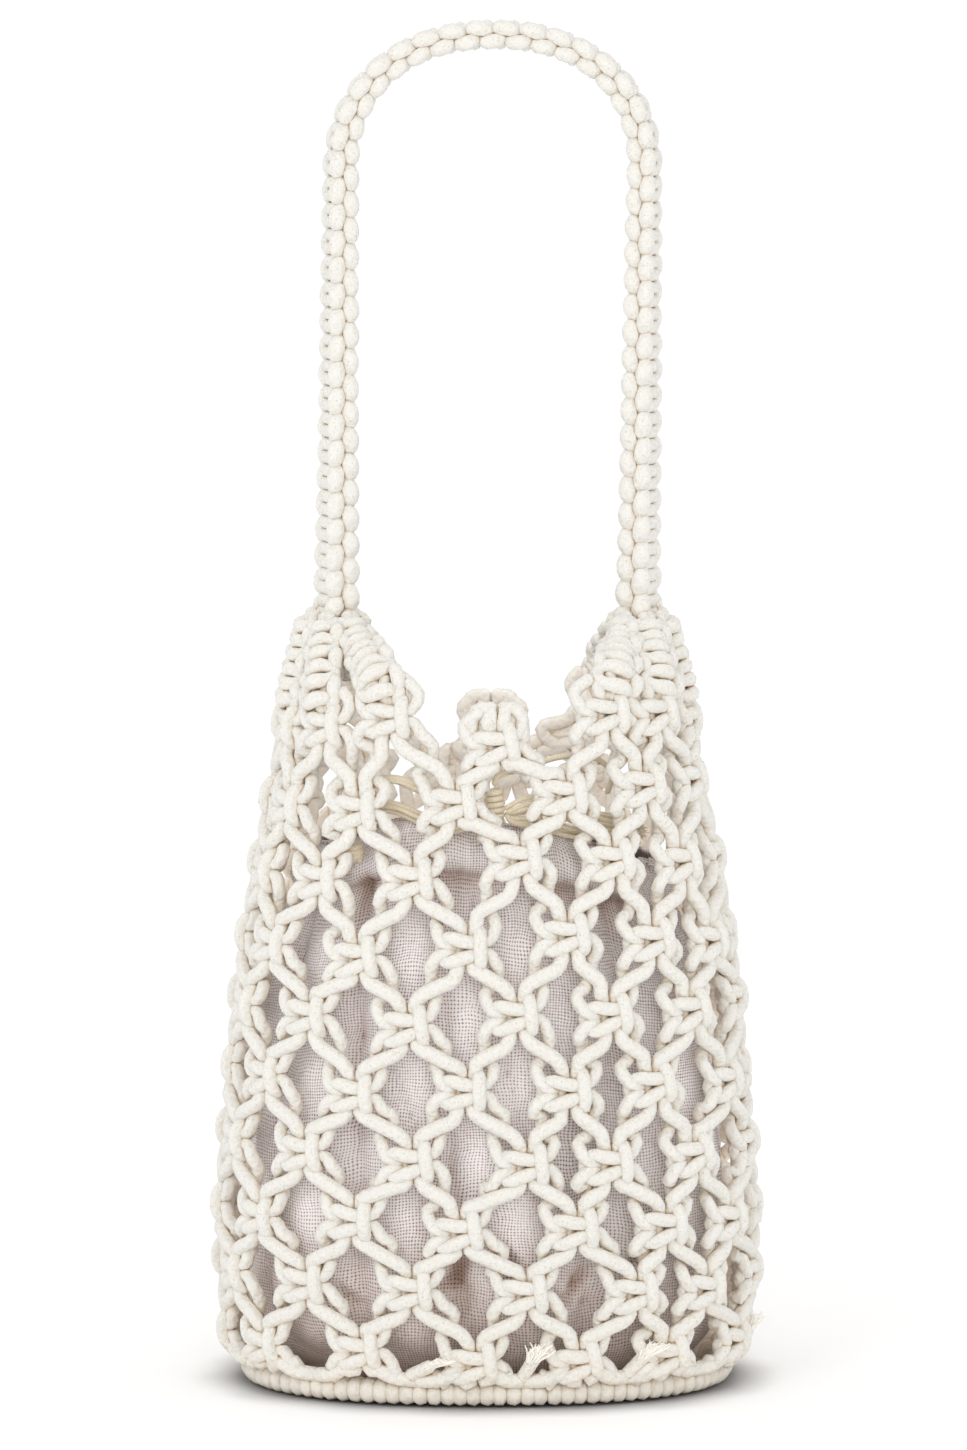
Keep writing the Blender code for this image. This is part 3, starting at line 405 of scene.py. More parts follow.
def smooth_path(points, spacing):
    """Evenly spaced rows on a smooth curve through rows of x, y, z and radius."""
    rows = np.array(points, float)
    gaps = np.maximum(np.linalg.norm(np.diff(rows[:, :3], axis=0), axis=1), 1e-7) ** 0.5
    way = np.diff(rows, axis=0) / gaps[:, None]
    slope = np.empty_like(rows)
    slope[0] = way[0]
    slope[-1] = way[-1]
    total = (gaps[:-1] + gaps[1:])[:, None]
    slope[1:-1] = (way[:-1] * gaps[1:, None] + way[1:] * gaps[:-1, None]) / total
    share = (np.arange(10) / 10)[None, :, None]
    span = gaps[:, None, None]
    fine = curve(share, rows[:-1, None], rows[1:, None], span * slope[:-1, None], span * slope[1:, None])
    fine = np.concatenate((fine.reshape(-1, rows.shape[1]), rows[-1:]))
    length = lengths_along(fine)
    count = max(4, int(round(length[-1] / spacing)) + 1)
    places = np.linspace(0.0, length[-1], count)
    return np.stack([np.interp(places, length, fine[:, i]) for i in range(rows.shape[1])], axis=1)


def path_length(rows):
    """Length of a run of rows of x, y and z."""
    return float(lengths_along(rows)[-1])


def carried_sides(way):
    """Directions across a path, carried along it without a twist."""
    side = Vector(way[0]).orthogonal().normalized()
    sides = np.empty_like(way)
    for i in range(len(way)):
        forward = Vector(way[i])
        side = (side - forward * side.dot(forward)).normalized()
        sides[i] = side
    return sides


class Ropes:
    """Tubes gathered into one mesh, with a length and a turn as their UV map."""

    def __init__(self, sides=8):
        self.sides = sides
        self.points = []
        self.lengths = []
        self.closed = []
        self.total = 0.0

    def add(self, rows, flat=None, closed=False, caps=True):
        """Add a tube along rows of x, y, z and radius, perhaps flattened along one direction."""
        centre = rows[:, :3]
        radius = rows[:, 3]
        if closed:
            way = unit(np.roll(centre, -1, axis=0) - np.roll(centre, 1, axis=0))
        else:
            way = unit(np.gradient(centre, axis=0))
        if caps and not closed:
            first = centre[:1] - way[:1] * radius[0] * 0.45
            last = centre[-1:] + way[-1:] * radius[-1] * 0.45
            centre = np.concatenate((first, centre, last))
            way = np.concatenate((way[:1], way, way[-1:]))
            radius = np.concatenate((radius[:1] * 0.55, radius, radius[-1:] * 0.55))
        sides = carried_sides(way)
        other = np.cross(way, sides)
        turn = 2 * np.pi * np.arange(self.sides) / self.sides + np.zeros((len(centre), 1))
        if closed:
            forward = Vector(way[0])
            last = Vector(sides[-1])
            last = (last - forward * last.dot(forward)).normalized()
            slip = math.atan2(last.dot(Vector(other[0])), last.dot(Vector(sides[0])))
            turn -= slip * np.arange(len(centre))[:, None] / len(centre)
        offset = (sides[:, None] * np.cos(turn)[..., None]
                  + other[:, None] * np.sin(turn)[..., None]) * radius[:, None, None]
        if flat is not None:
            direction, keep = flat
            direction = np.asarray(direction, float)
            offset = offset - direction * (offset @ direction)[..., None] * (1.0 - keep)
        length = lengths_along(centre)
        self.points.append(centre[:, None] + offset)
        self.lengths.append(length + self.total)
        self.closed.append(closed)
        self.total += float(length[-1])

    def faces(self):
        """Corners of every side face, their UV places, and the faces that cap the open ends."""
        sides = self.sides
        turn = np.arange(sides)
        following = (turn + 1) % sides
        quads = []
        uvs = []
        caps = []
        start = 0
        for length, closed in zip(self.lengths, self.closed):
            count = len(length)
            low = np.arange(count if closed else count - 1)
            here = start + low[:, None] * sides
            ahead = start + ((low + 1) % count)[:, None] * sides
            quads.append(np.stack((here + turn, here + following, ahead + following, ahead + turn),
                                  axis=-1).reshape(-1, 4))
            begin = length[low][:, None]
            end = length[np.minimum(low + 1, count - 1)][:, None]
            u = np.stack((begin, begin, end, end), axis=-1) * 100.0
            v = np.stack((turn, turn + 1, turn + 1, turn), axis=-1) / sides
            shape = (len(low), sides, 4)
            uv = np.stack((np.broadcast_to(u, shape), np.broadcast_to(v, shape)), axis=-1)
            uvs.append(uv.reshape(-1, 2))
            if not closed:
                caps.append([start + i for i in reversed(range(sides))])
                caps.append([start + (count - 1) * sides + i for i in range(sides)])
            start += count * sides
        return np.concatenate(quads), np.concatenate(uvs), caps

    def make(self, name, finish, replaced, slot="cotton_rope"):
        """Make the mesh object that stands for some nodes of the model."""
        corners = np.concatenate([ring.reshape(-1, 3) for ring in self.points])
        quads, uvs, caps = self.faces()
        loops = np.concatenate((quads.ravel(), np.array(caps, int).ravel())).astype(np.int32)
        sizes = np.concatenate((np.full(len(quads), 4), np.full(len(caps), self.sides)))
        mesh = bpy.data.meshes.new(name)
        mesh.vertices.add(len(corners))
        mesh.vertices.foreach_set("co", corners.astype(np.float32).ravel())
        mesh.loops.add(len(loops))
        mesh.loops.foreach_set("vertex_index", loops)
        mesh.polygons.add(len(sizes))
        mesh.polygons.foreach_set("loop_start", (np.cumsum(sizes) - sizes).astype(np.int32))
        mesh.polygons.foreach_set("loop_total", sizes.astype(np.int32))
        places = np.zeros((len(loops), 2), np.float32)
        places[:len(uvs)] = uvs
        mesh.uv_layers.new(name="rope").data.foreach_set("uv", places.ravel())
        mesh.update(calc_edges=True)
        mesh.validate()
        mesh.shade_smooth()
        return place(mesh, name, finish, replaced)


def place(mesh, name, finish, replaced):
    """Put a mesh in the scene as a piece of the bag."""
    mesh.materials.append(finish)
    thing = bpy.data.objects.new(name, mesh)
    bpy.context.scene.collection.objects.link(thing)
    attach(thing, "root")
    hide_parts(*replaced)
    return thing


# Materials

# Colours by share: of specks in the rope, of the linen's threads with painted shade in the gaps between
# them, of height up the linen as painted shade near the ground, of wax
ROPE_SHADES = ((0.28, (0.68, 0.61, 0.485)), (0.36, (0.808, 0.790, 0.740)), (0.62, (0.838, 0.822, 0.778)))
LINEN_THREADS_AND_GAP_SHADE = ((0.26, (0.26, 0.175, 0.155)), (0.42, (0.74, 0.655, 0.65)), (0.60, (0.92, 0.865, 0.88)),
                (0.85, (0.98, 0.95, 0.97)))
LINEN_GROUND_SHADE = ((0.10, (0.74, 0.66, 0.60)), (0.50, (0.93, 0.895, 0.865)), (0.95, (1.0, 1.0, 1.0)))
WAXED_SHADES = ((0.30, (0.66, 0.54, 0.36)), (0.50, (0.87, 0.78, 0.60)), (0.70, (0.96, 0.90, 0.76)))

# Plait of the rope: pitch in cm, and strands round it
PLAIT_PITCH = 0.42
PLAITS_ROUND = 3


def shader_parts(name):
    """New material with its node tree and main shader."""
    finish = bpy.data.materials.new(name)
    finish.use_nodes = True
    tree = finish.node_tree
    return finish, tree, tree.nodes["Principled BSDF"]


def add_node(tree, kind, **values):
    """Add a shader node with its settings and socket values."""
    node = tree.nodes.new(kind)
    for key, value in values.items():
        if hasattr(node, key):
            setattr(node, key, value)
        else:
            node.inputs[key.replace("_", " ")].default_value = value
    return node


def maths(tree, operation, first, second=None):
    """Maths node on sockets or numbers."""
    node = tree.nodes.new("ShaderNodeMath")
    node.operation = operation
    for socket, value in zip(node.inputs, (first, second)):
        if value is None:
            continue
        if isinstance(value, (int, float)):
            socket.default_value = value
        else:
            tree.links.new(value, socket)
    return node.outputs[0]


def ramp(tree, value, stops):
    """Colour ramp over a socket."""
    node = tree.nodes.new("ShaderNodeValToRGB")
    elements = node.color_ramp.elements
    while len(elements) < len(stops):
        elements.new(0.5)
    for element, (position, colour) in zip(elements, stops):
        element.position = position
        element.color = (*colour, 1.0)
    tree.links.new(value, node.inputs[0])
    return node.outputs[0]


def fade(tree, value, low, high):
    """Share of a socket that rises from 0 to 1 between two values."""
    return ramp(tree, value, ((low, (0.0, 0.0, 0.0)), (high, (1.0, 1.0, 1.0))))


def hollow(tree, distance, samples, low, high, **values):
    """How deep a place lies in a hollow, from 0 to 1."""
    near = add_node(tree, "ShaderNodeAmbientOcclusion", Distance=distance, samples=samples, **values)
    return ramp(tree, near.outputs["AO"], ((low, (1.0, 1.0, 1.0)), (high, (0.0, 0.0, 0.0))))


def tinted(tree, colour, share, tint, blend_type="MIX"):
    """Colour mixed with a tint by a share."""
    mix = add_node(tree, "ShaderNodeMix", data_type="RGBA", blend_type=blend_type)
    tree.links.new(share, mix.inputs["Factor"])
    tree.links.new(colour, mix.inputs["A"])
    mix.inputs["B"].default_value = (*tint, 1.0)
    return mix.outputs["Result"]


def axes_of(tree, vector):
    """The three parts of a vector socket."""
    split = add_node(tree, "ShaderNodeSeparateXYZ")
    tree.links.new(vector, split.inputs[0])
    return split.outputs


def stretched_noise(tree, vector, scale, **values):
    """Noise drawn out along the cloth or the rope."""
    noise = add_node(tree, "ShaderNodeTexNoise", Scale=1.0, Detail=3.0, **values)
    stretch = add_node(tree, "ShaderNodeMapping", Scale=scale)
    tree.links.new(vector, stretch.inputs[0])
    tree.links.new(stretch.outputs[0], noise.inputs["Vector"])
    return noise.outputs["Fac"]


def bumped(tree, shader, height, strength, distance):
    """Small relief on a surface."""
    bump = add_node(tree, "ShaderNodeBump", Strength=strength, Distance=distance)
    tree.links.new(height, bump.inputs["Height"])
    tree.links.new(bump.outputs[0], shader.inputs["Normal"])


def settle(shader, **values):
    """Plain values of a surface."""
    for key, value in values.items():
        shader.inputs[key.replace("_", " ")].default_value = value


def rope_finish():
    """Soft off-white braided cotton: faint plaited ribs and fibres, painted warm shade in the creases,
    painted warm bounce light in deep hollows and a painted glow on the ropes behind the mouth.
    """
    finish, tree, shader = shader_parts("cotton_rope_knotted")
    where = add_node(tree, "ShaderNodeTexCoord")
    u, v, _ = axes_of(tree, where.outputs["UV"])
    along = maths(tree, "MULTIPLY", u, 2 * math.pi / PLAIT_PITCH)
    round_it = maths(tree, "MULTIPLY", v, 2 * math.pi * PLAITS_ROUND)
    first = maths(tree, "SINE", maths(tree, "ADD", along, round_it))
    second = maths(tree, "SINE", maths(tree, "SUBTRACT", along, round_it))
    plait = maths(tree, "MAXIMUM", first, second)
    fibres = stretched_noise(tree, where.outputs["UV"], (9.0, 70.0, 1.0), Roughness=0.6)
    height = maths(tree, "ADD", maths(tree, "MULTIPLY", plait, 0.85),
                   maths(tree, "MULTIPLY", fibres, 1.1))
    bumped(tree, shader, height, 0.50, 0.0007)
    specks = add_node(tree, "ShaderNodeTexNoise", Scale=1300.0, Detail=1.0)
    tree.links.new(where.outputs["Object"], specks.inputs["Vector"])
    colour = ramp(tree, specks.outputs["Fac"], ROPE_SHADES)
    # Painted shade: creases between ropes, found by a short ambient occlusion, are tinted warm brown
    crease_shade = hollow(tree, 0.0026, 8, 0.15, 0.60)
    # Painted bounce light: places deep among the ropes, found by a wide ambient occlusion, are tinted warm
    # pale cream
    painted_bounce_share = hollow(tree, 0.06, 4, 0.15, 0.55)
    colour = tinted(tree, colour, painted_bounce_share, (0.97, 0.88, 0.75))
    colour = tinted(tree, colour, crease_shade, (0.60, 0.47, 0.32))
    tree.links.new(colour, shader.inputs["Base Color"])
    # Painted light: ropes in the back half that face the front are given a warm emission, standing in for
    # light thrown on them by the pale pouch
    surface = add_node(tree, "ShaderNodeNewGeometry")
    place_y = axes_of(tree, surface.outputs["Position"])[1]
    facing_y = axes_of(tree, surface.outputs["Normal"])[1]
    behind = fade(tree, maths(tree, "MULTIPLY", place_y, 10.0), 0.05, 0.40)
    inward = fade(tree, maths(tree, "MULTIPLY", facing_y, -1.0), 0.0, 0.7)
    glow = maths(tree, "MULTIPLY", maths(tree, "MULTIPLY", behind, inward), INNER_PAINTED_GLOW)
    tree.links.new(glow, shader.inputs["Emission Strength"])
    settle(shader, Emission_Color=(1.0, 0.87, 0.74, 1.0), Roughness=0.88, Specular_IOR_Level=0.22,
           Sheen_Weight=0.2, Sheen_Roughness=0.5, Subsurface_Weight=0.10,
           Subsurface_Radius=(0.0020, 0.0016, 0.0011), Subsurface_Scale=1.0)
    return finish


def linen_finish():
    """Coarse open linen: crossing threads with painted dark shade in the small gaps, and painted brown shade
    in its folds and low down near the ground.
    """
    finish, tree, shader = shader_parts("linen_open_weave")
    link = tree.links.new
    cloth = add_node(tree, "ShaderNodeTexCoord").outputs["UV"]
    wander = add_node(tree, "ShaderNodeTexNoise", Scale=0.35, Detail=2.0)
    link(cloth, wander.inputs["Vector"])
    shifted = add_node(tree, "ShaderNodeVectorMath", operation="MULTIPLY_ADD")
    link(wander.outputs["Color"], shifted.inputs[0])
    shifted.inputs[1].default_value = (0.9, 0.9, 0.0)
    link(cloth, shifted.inputs[2])
    u, v, _ = axes_of(tree, shifted.outputs[0])
    warp, weft = [maths(tree, "SINE", maths(tree, "MULTIPLY", side, math.pi / LINEN_PITCH))
                  for side in (u, v)]
    warp, weft = [maths(tree, "ABSOLUTE", wave) for wave in (warp, weft)]
    threads = maths(tree, "MULTIPLY", maths(tree, "ADD", warp, weft), 0.5)
    slubs = stretched_noise(tree, cloth, (6.5, 5.0, 1.0))
    slub = maths(tree, "MULTIPLY", maths(tree, "SUBTRACT", slubs, 0.5), 0.55)
    patches = add_node(tree, "ShaderNodeTexNoise", Scale=0.45, Detail=2.0)
    link(cloth, patches.inputs["Vector"])
    patch = maths(tree, "MULTIPLY", maths(tree, "SUBTRACT", patches.outputs["Fac"], 0.5), 0.30)
    # Painted shade: the lowest shares, the gaps between the threads, take a dark brown from the ramp
    open_share = maths(tree, "ADD", maths(tree, "ADD", threads, slub), patch)
    # Painted shade: folds of the cloth, found by ambient occlusion of the pouch alone, are multiplied
    # towards brown
    folds = hollow(tree, 0.018, 8, 0.45, 0.95, only_local=True)
    colour = tinted(tree, ramp(tree, open_share, LINEN_THREADS_AND_GAP_SHADE), folds, (0.62, 0.50, 0.42), "MULTIPLY")
    # Painted shade: the linen is multiplied towards brown near the ground, by height
    surface = add_node(tree, "ShaderNodeNewGeometry")
    height = axes_of(tree, surface.outputs["Position"])[2]
    low = add_node(tree, "ShaderNodeMix", data_type="RGBA", blend_type="MULTIPLY")
    low.inputs["Factor"].default_value = 1.0
    link(colour, low.inputs["A"])
    link(ramp(tree, maths(tree, "MULTIPLY", height, 10.0), LINEN_GROUND_SHADE), low.inputs["B"])
    link(low.outputs["Result"], shader.inputs["Base Color"])
    bumped(tree, shader, open_share, 0.6, 0.0005)
    settle(shader, Roughness=0.95, Specular_IOR_Level=0.15, Sheen_Weight=0.15)
    return finish


def waxed_finish():
    """Beige waxed cord with a low sheen."""
    finish, tree, shader = shader_parts("waxed_cord_twisted")
    cord = add_node(tree, "ShaderNodeTexCoord").outputs["UV"]
    fibres = stretched_noise(tree, cord, (12.0, 30.0, 1.0))
    tree.links.new(ramp(tree, fibres, WAXED_SHADES), shader.inputs["Base Color"])
    bumped(tree, shader, fibres, 0.5, 0.0003)
    settle(shader, Roughness=0.6, Sheen_Weight=0.2)
    return finish


def fibre_finish():
    """Loose cotton fibres of a cut rope end, lightened by a faint painted glow."""
    finish, _, shader = shader_parts("cotton_fibres")
    # Painted light: a faint warm emission lightens the fibres
    settle(shader, Base_Color=(0.95, 0.92, 0.85, 1.0), Emission_Color=(1.0, 0.94, 0.85, 1.0),
           Emission_Strength=0.10, Roughness=0.9, Subsurface_Weight=0.4,
           Subsurface_Radius=(0.003, 0.0026, 0.002), Subsurface_Scale=1.0)
    return finish


rope = rope_finish()
loose_fibres = fibre_finish()
linen = linen_finish()
waxed = waxed_finish()


# Net of square knots

def between_rows(path, step, height, stride, drop):
    """Rows of a rope's path from one knot towards the next."""
    rows = []
    for across, down, depth, radius in path:
        point, _, _, out = wall_frame(step + across * stride, height - down * drop)
        rows.append((*(point + out * depth * 0.001), radius * 0.001))
    return rows


TURNS = {}


def turned_knot_rows(index, column, part):
    """Knot rows with one small tilt for all the ropes of that knot."""
    if (index, column) not in TURNS:
        TURNS[(index, column)] = (random.normal(0.0, 0.05), random.normal(0.0, 0.0004),
                                  random.normal(1.0, 0.02))
    turn, lift, size = TURNS[(index, column)]
    point, along, up, out = wall_frame(ROW_STEPS[index][column], knot_height(index, column))
    rows = []
    for across, rise, depth, radius in KNOT_PATHS[part]:
        place_across = across * math.cos(turn) - rise * math.sin(turn)
        place_up = across * math.sin(turn) + rise * math.cos(turn)
        where = point + up * lift
        where = where + (along * place_across * size + up * place_up * size + out * depth) * 0.001
        rows.append((*where, radius * 0.001))
    return rows


# Rows above the top knots, in mm: across, up, out and radius
TOP_ENDS = {
    "left_core": ((-3.0, 16.0, -0.5, 2.90), (-3.2, 12.0, 0.2, 3.00)),
    "right_core": ((3.0, 16.0, -0.5, 2.90), (3.0, 12.5, 0.2, 3.00)),
    "over": ((6.5, 15.0, 0.0, 2.75),),
    "under": ((-6.5, 13.5, 0.0, 2.75),),
}


def top_rows(column, part):
    """Rows that lead into a knot of the top row."""
    point, along, up, out = wall_frame(ROW_STEPS[0][column], knot_height(0, column))
    return [(*(point + (along * across + up * rise + out * depth) * 0.001), radius * 0.001)
            for across, rise, depth, radius in TOP_ENDS[part]]


def net_rope(column, part):
    """Whole path of one rope of the net, from its top knot down into the rim."""
    rows = top_rows(column, part)
    for index in range(len(ROWS)):
        rows += turned_knot_rows(index, column, part)
        side, following = NEXT_PART[part]
        target = (column + side) % (2 * KNOTS_ROUND)
        step = ROW_STEPS[index][column]
        height = knot_height(index, column)
        if index < len(ROWS) - 1:
            stride = step_between(step, ROW_STEPS[index + 1][target])
            drop = height - knot_height(index + 1, target)
            rows += between_rows(EDGE_PATHS[part], step, height, stride, drop)
        else:
            stride = step_between(step, ROW_STEPS[index - 1][target])
            rows += between_rows(FOOT_PATHS[part], step, height, stride, height - RIM_HEIGHT)
        column = target
        part = following
    return rows


def build_net():
    """The net's ropes, in four pieces round the bag."""
    sides = {"front": Ropes(), "right": Ropes(), "back": Ropes(), "left": Ropes()}
    for column, step in ROW_STEPS[0].items():
        x, y, _ = middle_point(step, 0.0)
        if abs(x) > BODY_HALF_WIDTH * SIDE_SHARE:
            side = "right" if x > 0 else "left"
        else:
            side = "back" if y > 0 else "front"
        for part in NEXT_PART:
            sides[side].add(smooth_path(net_rope(column, part), NET_SPACING))
    for side, ropes in sides.items():
        ropes.make(f"net_ropes_{side}", rope, ["net_body"])


# Chains of square knots

def chain_rows(frames, pitch, first, count, pattern, half_width, half_depth, radius):
    """Rows of one rope of a chain of knots. frames gives place, across and out at a length."""
    rows = []
    for k in range(count):
        for across, rise, depth, size in pattern:
            length = first + k * pitch - rise * pitch
            point, side, out = frames(length)
            where = point + side * (across * half_width(length)) + out * (depth * half_depth(length))
            rows.append((*where, size * radius(length)))
    return rows


def frames_along(points, sides):
    """Function that gives the place, across and out at a length along a run of points."""
    points = np.asarray(points, float)
    sides = np.asarray(sides, float)
    lengths = lengths_along(points)
    ways = unit(np.gradient(points, axis=0))

    def at(length):
        held = np.clip(length, 0.0, lengths[-1])
        point, way, side = [np.array([np.interp(held, lengths, values[:, i]) for i in range(3)])
                            for values in (points, ways, sides)]
        way = unit(way)
        side = unit(side - way * (side @ way))
        return point + way * (length - held), side, np.cross(side, -way)

    return at, lengths[-1]


def handle_points():
    """Centre line of the handle from the left end to the right end."""
    foot = GATHER_TOP + GAP
    crown = HANDLE_TOP - HANDLE_THICKNESS / 2
    spring = crown - HANDLE_ARCH_HEIGHT
    leg = np.linspace(foot, spring, 60, endpoint=False)
    angle = math.pi * (1 - np.arange(241) / 240)
    power = 2 / HANDLE_ARCH_POWER
    arch_x = np.sign(np.cos(angle)) * np.abs(np.cos(angle)) ** power * HANDLE_HALF_SPAN
    arch_z = spring + np.abs(np.sin(angle)) ** power * HANDLE_ARCH_HEIGHT
    x = np.concatenate((np.full(60, -HANDLE_HALF_SPAN), arch_x, np.full(60, HANDLE_HALF_SPAN)))
    z = np.concatenate((leg, arch_z, leg[::-1]))
    x = x + HANDLE_LEAN * (z - foot) / (crown - foot)
    return np.stack((x, np.zeros_like(x), z), axis=1)


def build_handle():
    """Tall arch of square knots, its edge towards the front, a little twisted at its feet."""
    points = handle_points()
    twist = np.radians(HANDLE_TWIST) * np.linspace(1.0, -1.0, len(points))
    sides = np.stack((np.sin(twist), -np.cos(twist), np.zeros(len(points))), axis=1)
    frames, length = frames_along(points, sides)
    count = int(round(length / HANDLE_RIB))
    pitch = length / count

    def swell(place_on):
        foot = min(place_on, length - place_on)
        arch = math.cos(math.pi / 2 * min(1.0, abs(2 * place_on / length - 1.0))) ** 2
        foot_swell = HANDLE_FOOT_SWELL * math.exp(-max(foot, 0.0) / HANDLE_FOOT_REACH)
        return 1.0 - HANDLE_CROWN_THINNING * arch + foot_swell

    def half_width(place_on):
        return HANDLE_HALF_WIDTH * min(1.0, swell(place_on))

    def half_depth(place_on):
        return HANDLE_HALF_DEPTH * swell(place_on)

    def radius(place_on):
        return HANDLE_ROPE * min(1.06, swell(place_on))

    ropes = Ropes()
    for edge in (1, -1):
        for face in (1, -1):
            laps = [(across * edge, rise, depth * face, size) for across, rise, depth, size in HANDLE_LAPS]
            start = pitch * (0.5 if face > 0 else 1.0)
            rows = chain_rows(frames, pitch, start, count, laps, half_width, half_depth, radius)
            ropes.add(smooth_path(rows, LAP_SPACING))
    for face in (1, -1):
        bars = [(across * face, rise, depth * face, size) for across, rise, depth, size in HANDLE_BARS]
        rows = chain_rows(frames, pitch, pitch / 2, count, bars, half_width, half_depth, radius)
        ropes.add(smooth_path(rows, CHAIN_SPACING))
    for across in HANDLE_CORES:
        rows = []
        for place_on in np.arange(0.0, length, 0.008):
            point, side, _ = frames(place_on)
            rows.append((*(point + side * across), HANDLE_CORE_ROPE))
        ropes.add(smooth_path(rows, 0.006))
    ropes.make("handle_ropes", rope, ["handle"])


def sinnet_path(column, side, fan):
    """Centre line of a sinnet from the gather down to its knot, with its outward directions."""
    point, along, up, out = wall_frame(ROW_STEPS[0][column], knot_height(0, column))
    angle = math.radians(fan)
    fan_out = np.array((side * math.cos(angle), math.sin(angle), 0.0))
    end = np.array((side * (HANDLE_HALF_SPAN + FAN_HALF_WIDTH * math.cos(angle)),
                    FAN_HALF_DEPTH * math.sin(angle), GATHER_BOTTOM + SINNET_CLIMB))
    shift = np.clip((end - point) @ along, -2 * SINNET_SHIFT, 2 * SINNET_SHIFT) / 2
    seat = point + up * (KNOT_HEIGHT / 2 + 0.003) + along * shift
    way = unit(up + unit(end - seat) * SINNET_LEAN)
    away = (seat - end) * (1.0, 1.0, 0.0)
    reach = np.linalg.norm(away)
    arrive = away / reach * min(SINNET_ARCH, 0.35 * reach) - np.array((0.0, 0.0, SINNET_CLIMB * 0.7))
    control = (seat, seat + way * SINNET_BEND, end + arrive, end)
    share = np.linspace(1.0, 0.0, 40)[:, None]
    rest = 1.0 - share
    points = (control[0] * rest ** 3 + control[1] * (3 * rest ** 2 * share)
              + control[2] * (3 * rest * share ** 2) + control[3] * share ** 3)
    foot = [seat - up * 0.004 - along * shift / 3, seat - up * 0.008 - along * shift * 0.6]
    points = np.concatenate((points, foot))
    outward = np.concatenate((unit(out * rest + fan_out * share), [out, out]))
    return points, outward


def build_sinnet(label, number, column, side, fan):
    """Chain of square knots from a top knot to the gather."""
    points, outward = sinnet_path(column, side, fan)
    ways = unit(np.gradient(points, axis=0))
    frames, length = frames_along(points, unit(np.cross(-ways, outward)))
    count = max(2, int(round((length - 0.006) / SINNET_PITCH)))
    pitch = (length - 0.004) / count

    def grown(size):
        first, gain = size
        return lambda place_on: first + gain * min(1.0, max(0.0, place_on / length))

    half_width, half_depth, radius, core_offset = [
        grown(size) for size in (SINNET_HALF_WIDTH, SINNET_HALF_DEPTH, SINNET_ROPE, SINNET_CORE_OFFSET)]
    ropes = Ropes()
    for part in ("over", "under"):
        knots = SINNET_CHAIN[part]
        rows = chain_rows(frames, pitch, pitch * 0.5, count, knots, half_width, half_depth, radius)
        ropes.add(smooth_path(rows, CHAIN_SPACING))
    for across in (-1.0, 1.0):
        rows = []
        for place_on in np.linspace(-0.004, length, 9):
            point, side_way, _ = frames(place_on)
            rows.append((*(point + side_way * across * core_offset(place_on)), SINNET_CORE_ROPE))
        ropes.add(smooth_path(rows, 0.003))
    ropes.make(f"sinnet_ropes_{label}_{number}", rope, [f"sinnet_{label}_{number}"])


def build_gather(label, side):
    """Bundle of strands that runs down from the handle and spreads to the sinnets."""
    ropes = Ropes()
    reach_x = GATHER_WIDTH / 2 - ROPE_RADIUS
    reach_y = GATHER_DEPTH / 2 - ROPE_RADIUS
    for i in range(GATHER_STRANDS):
        angle = 2 * math.pi * (i + 0.5) / GATHER_STRANDS
        sway = 0.25 * math.sin(2.4 * i)
        rows = []
        for height, size, turn, swaying in GATHER_ROWS:
            place_on = angle + (turn + sway * swaying)
            x = side * HANDLE_HALF_SPAN + size * reach_x * math.cos(place_on)
            y = size * reach_y * math.sin(place_on)
            rows.append((x, y, height, HANDLE_ROPE))
        ropes.add(smooth_path(rows, CHAIN_SPACING))
    ropes.make(f"gather_ropes_{label}", rope, [f"gather_{label}"])


def build_picot(place_name, column, side, label):
    """Folded loop of rope on top of a plain knot."""
    point, along, up, out = wall_frame(ROW_STEPS[0][column], knot_height(0, column))
    base = point + up * (KNOT_HEIGHT / 2) + along * (side * PICOT_SPREAD / 2)
    radius = PICOT_ROPE
    reach = PICOT_REACH / 2 - radius + 0.0006
    rise = PICOT_RISE - radius
    inner = base - along * (side * reach)
    outer = base + along * (side * reach * 1.25)
    rows = [(*(inner - up * 0.0065 - out * 0.0004), radius), (*(inner - up * 0.001 + out * 0.0006), radius)]
    stem = rise - reach
    for share in (0.0, 0.25, 0.5, 0.75, 1.0):
        angle = math.pi * share
        where = base - along * (side * math.cos(angle) * reach) + up * (stem + math.sin(angle) * reach)
        rows.append((*(where + out * 0.0008 * math.cos(angle)), radius))
    rows += [(*(outer - up * 0.002 - out * 0.0010), radius), (*(outer - up * 0.007 - out * 0.0006), radius)]
    ropes = Ropes()
    ropes.add(smooth_path(rows, LAP_SPACING))
    ropes.make(f"picot_rope_{place_name}_{label}", rope, [f"picot_{place_name}_{label}"])


# Rim and base

def rim_size():
    """Half width and half depth of the rim's centre line."""
    return [RIM_SPREAD * (half - KNOT_THICKNESS / 2) for half in (BODY_HALF_WIDTH, BODY_HALF_DEPTH)]


def rim_frame(share):
    """Places on the rim's centre line with their directions along."""
    angle = angle_at(KNOTS_ROUND * np.asarray(share))
    x, y = oval(angle, *rim_size())
    before = np.stack(oval(angle - 0.01, *rim_size()), axis=-1)
    after = np.stack(oval(angle + 0.01, *rim_size()), axis=-1)
    return x, y, unit(after - before)


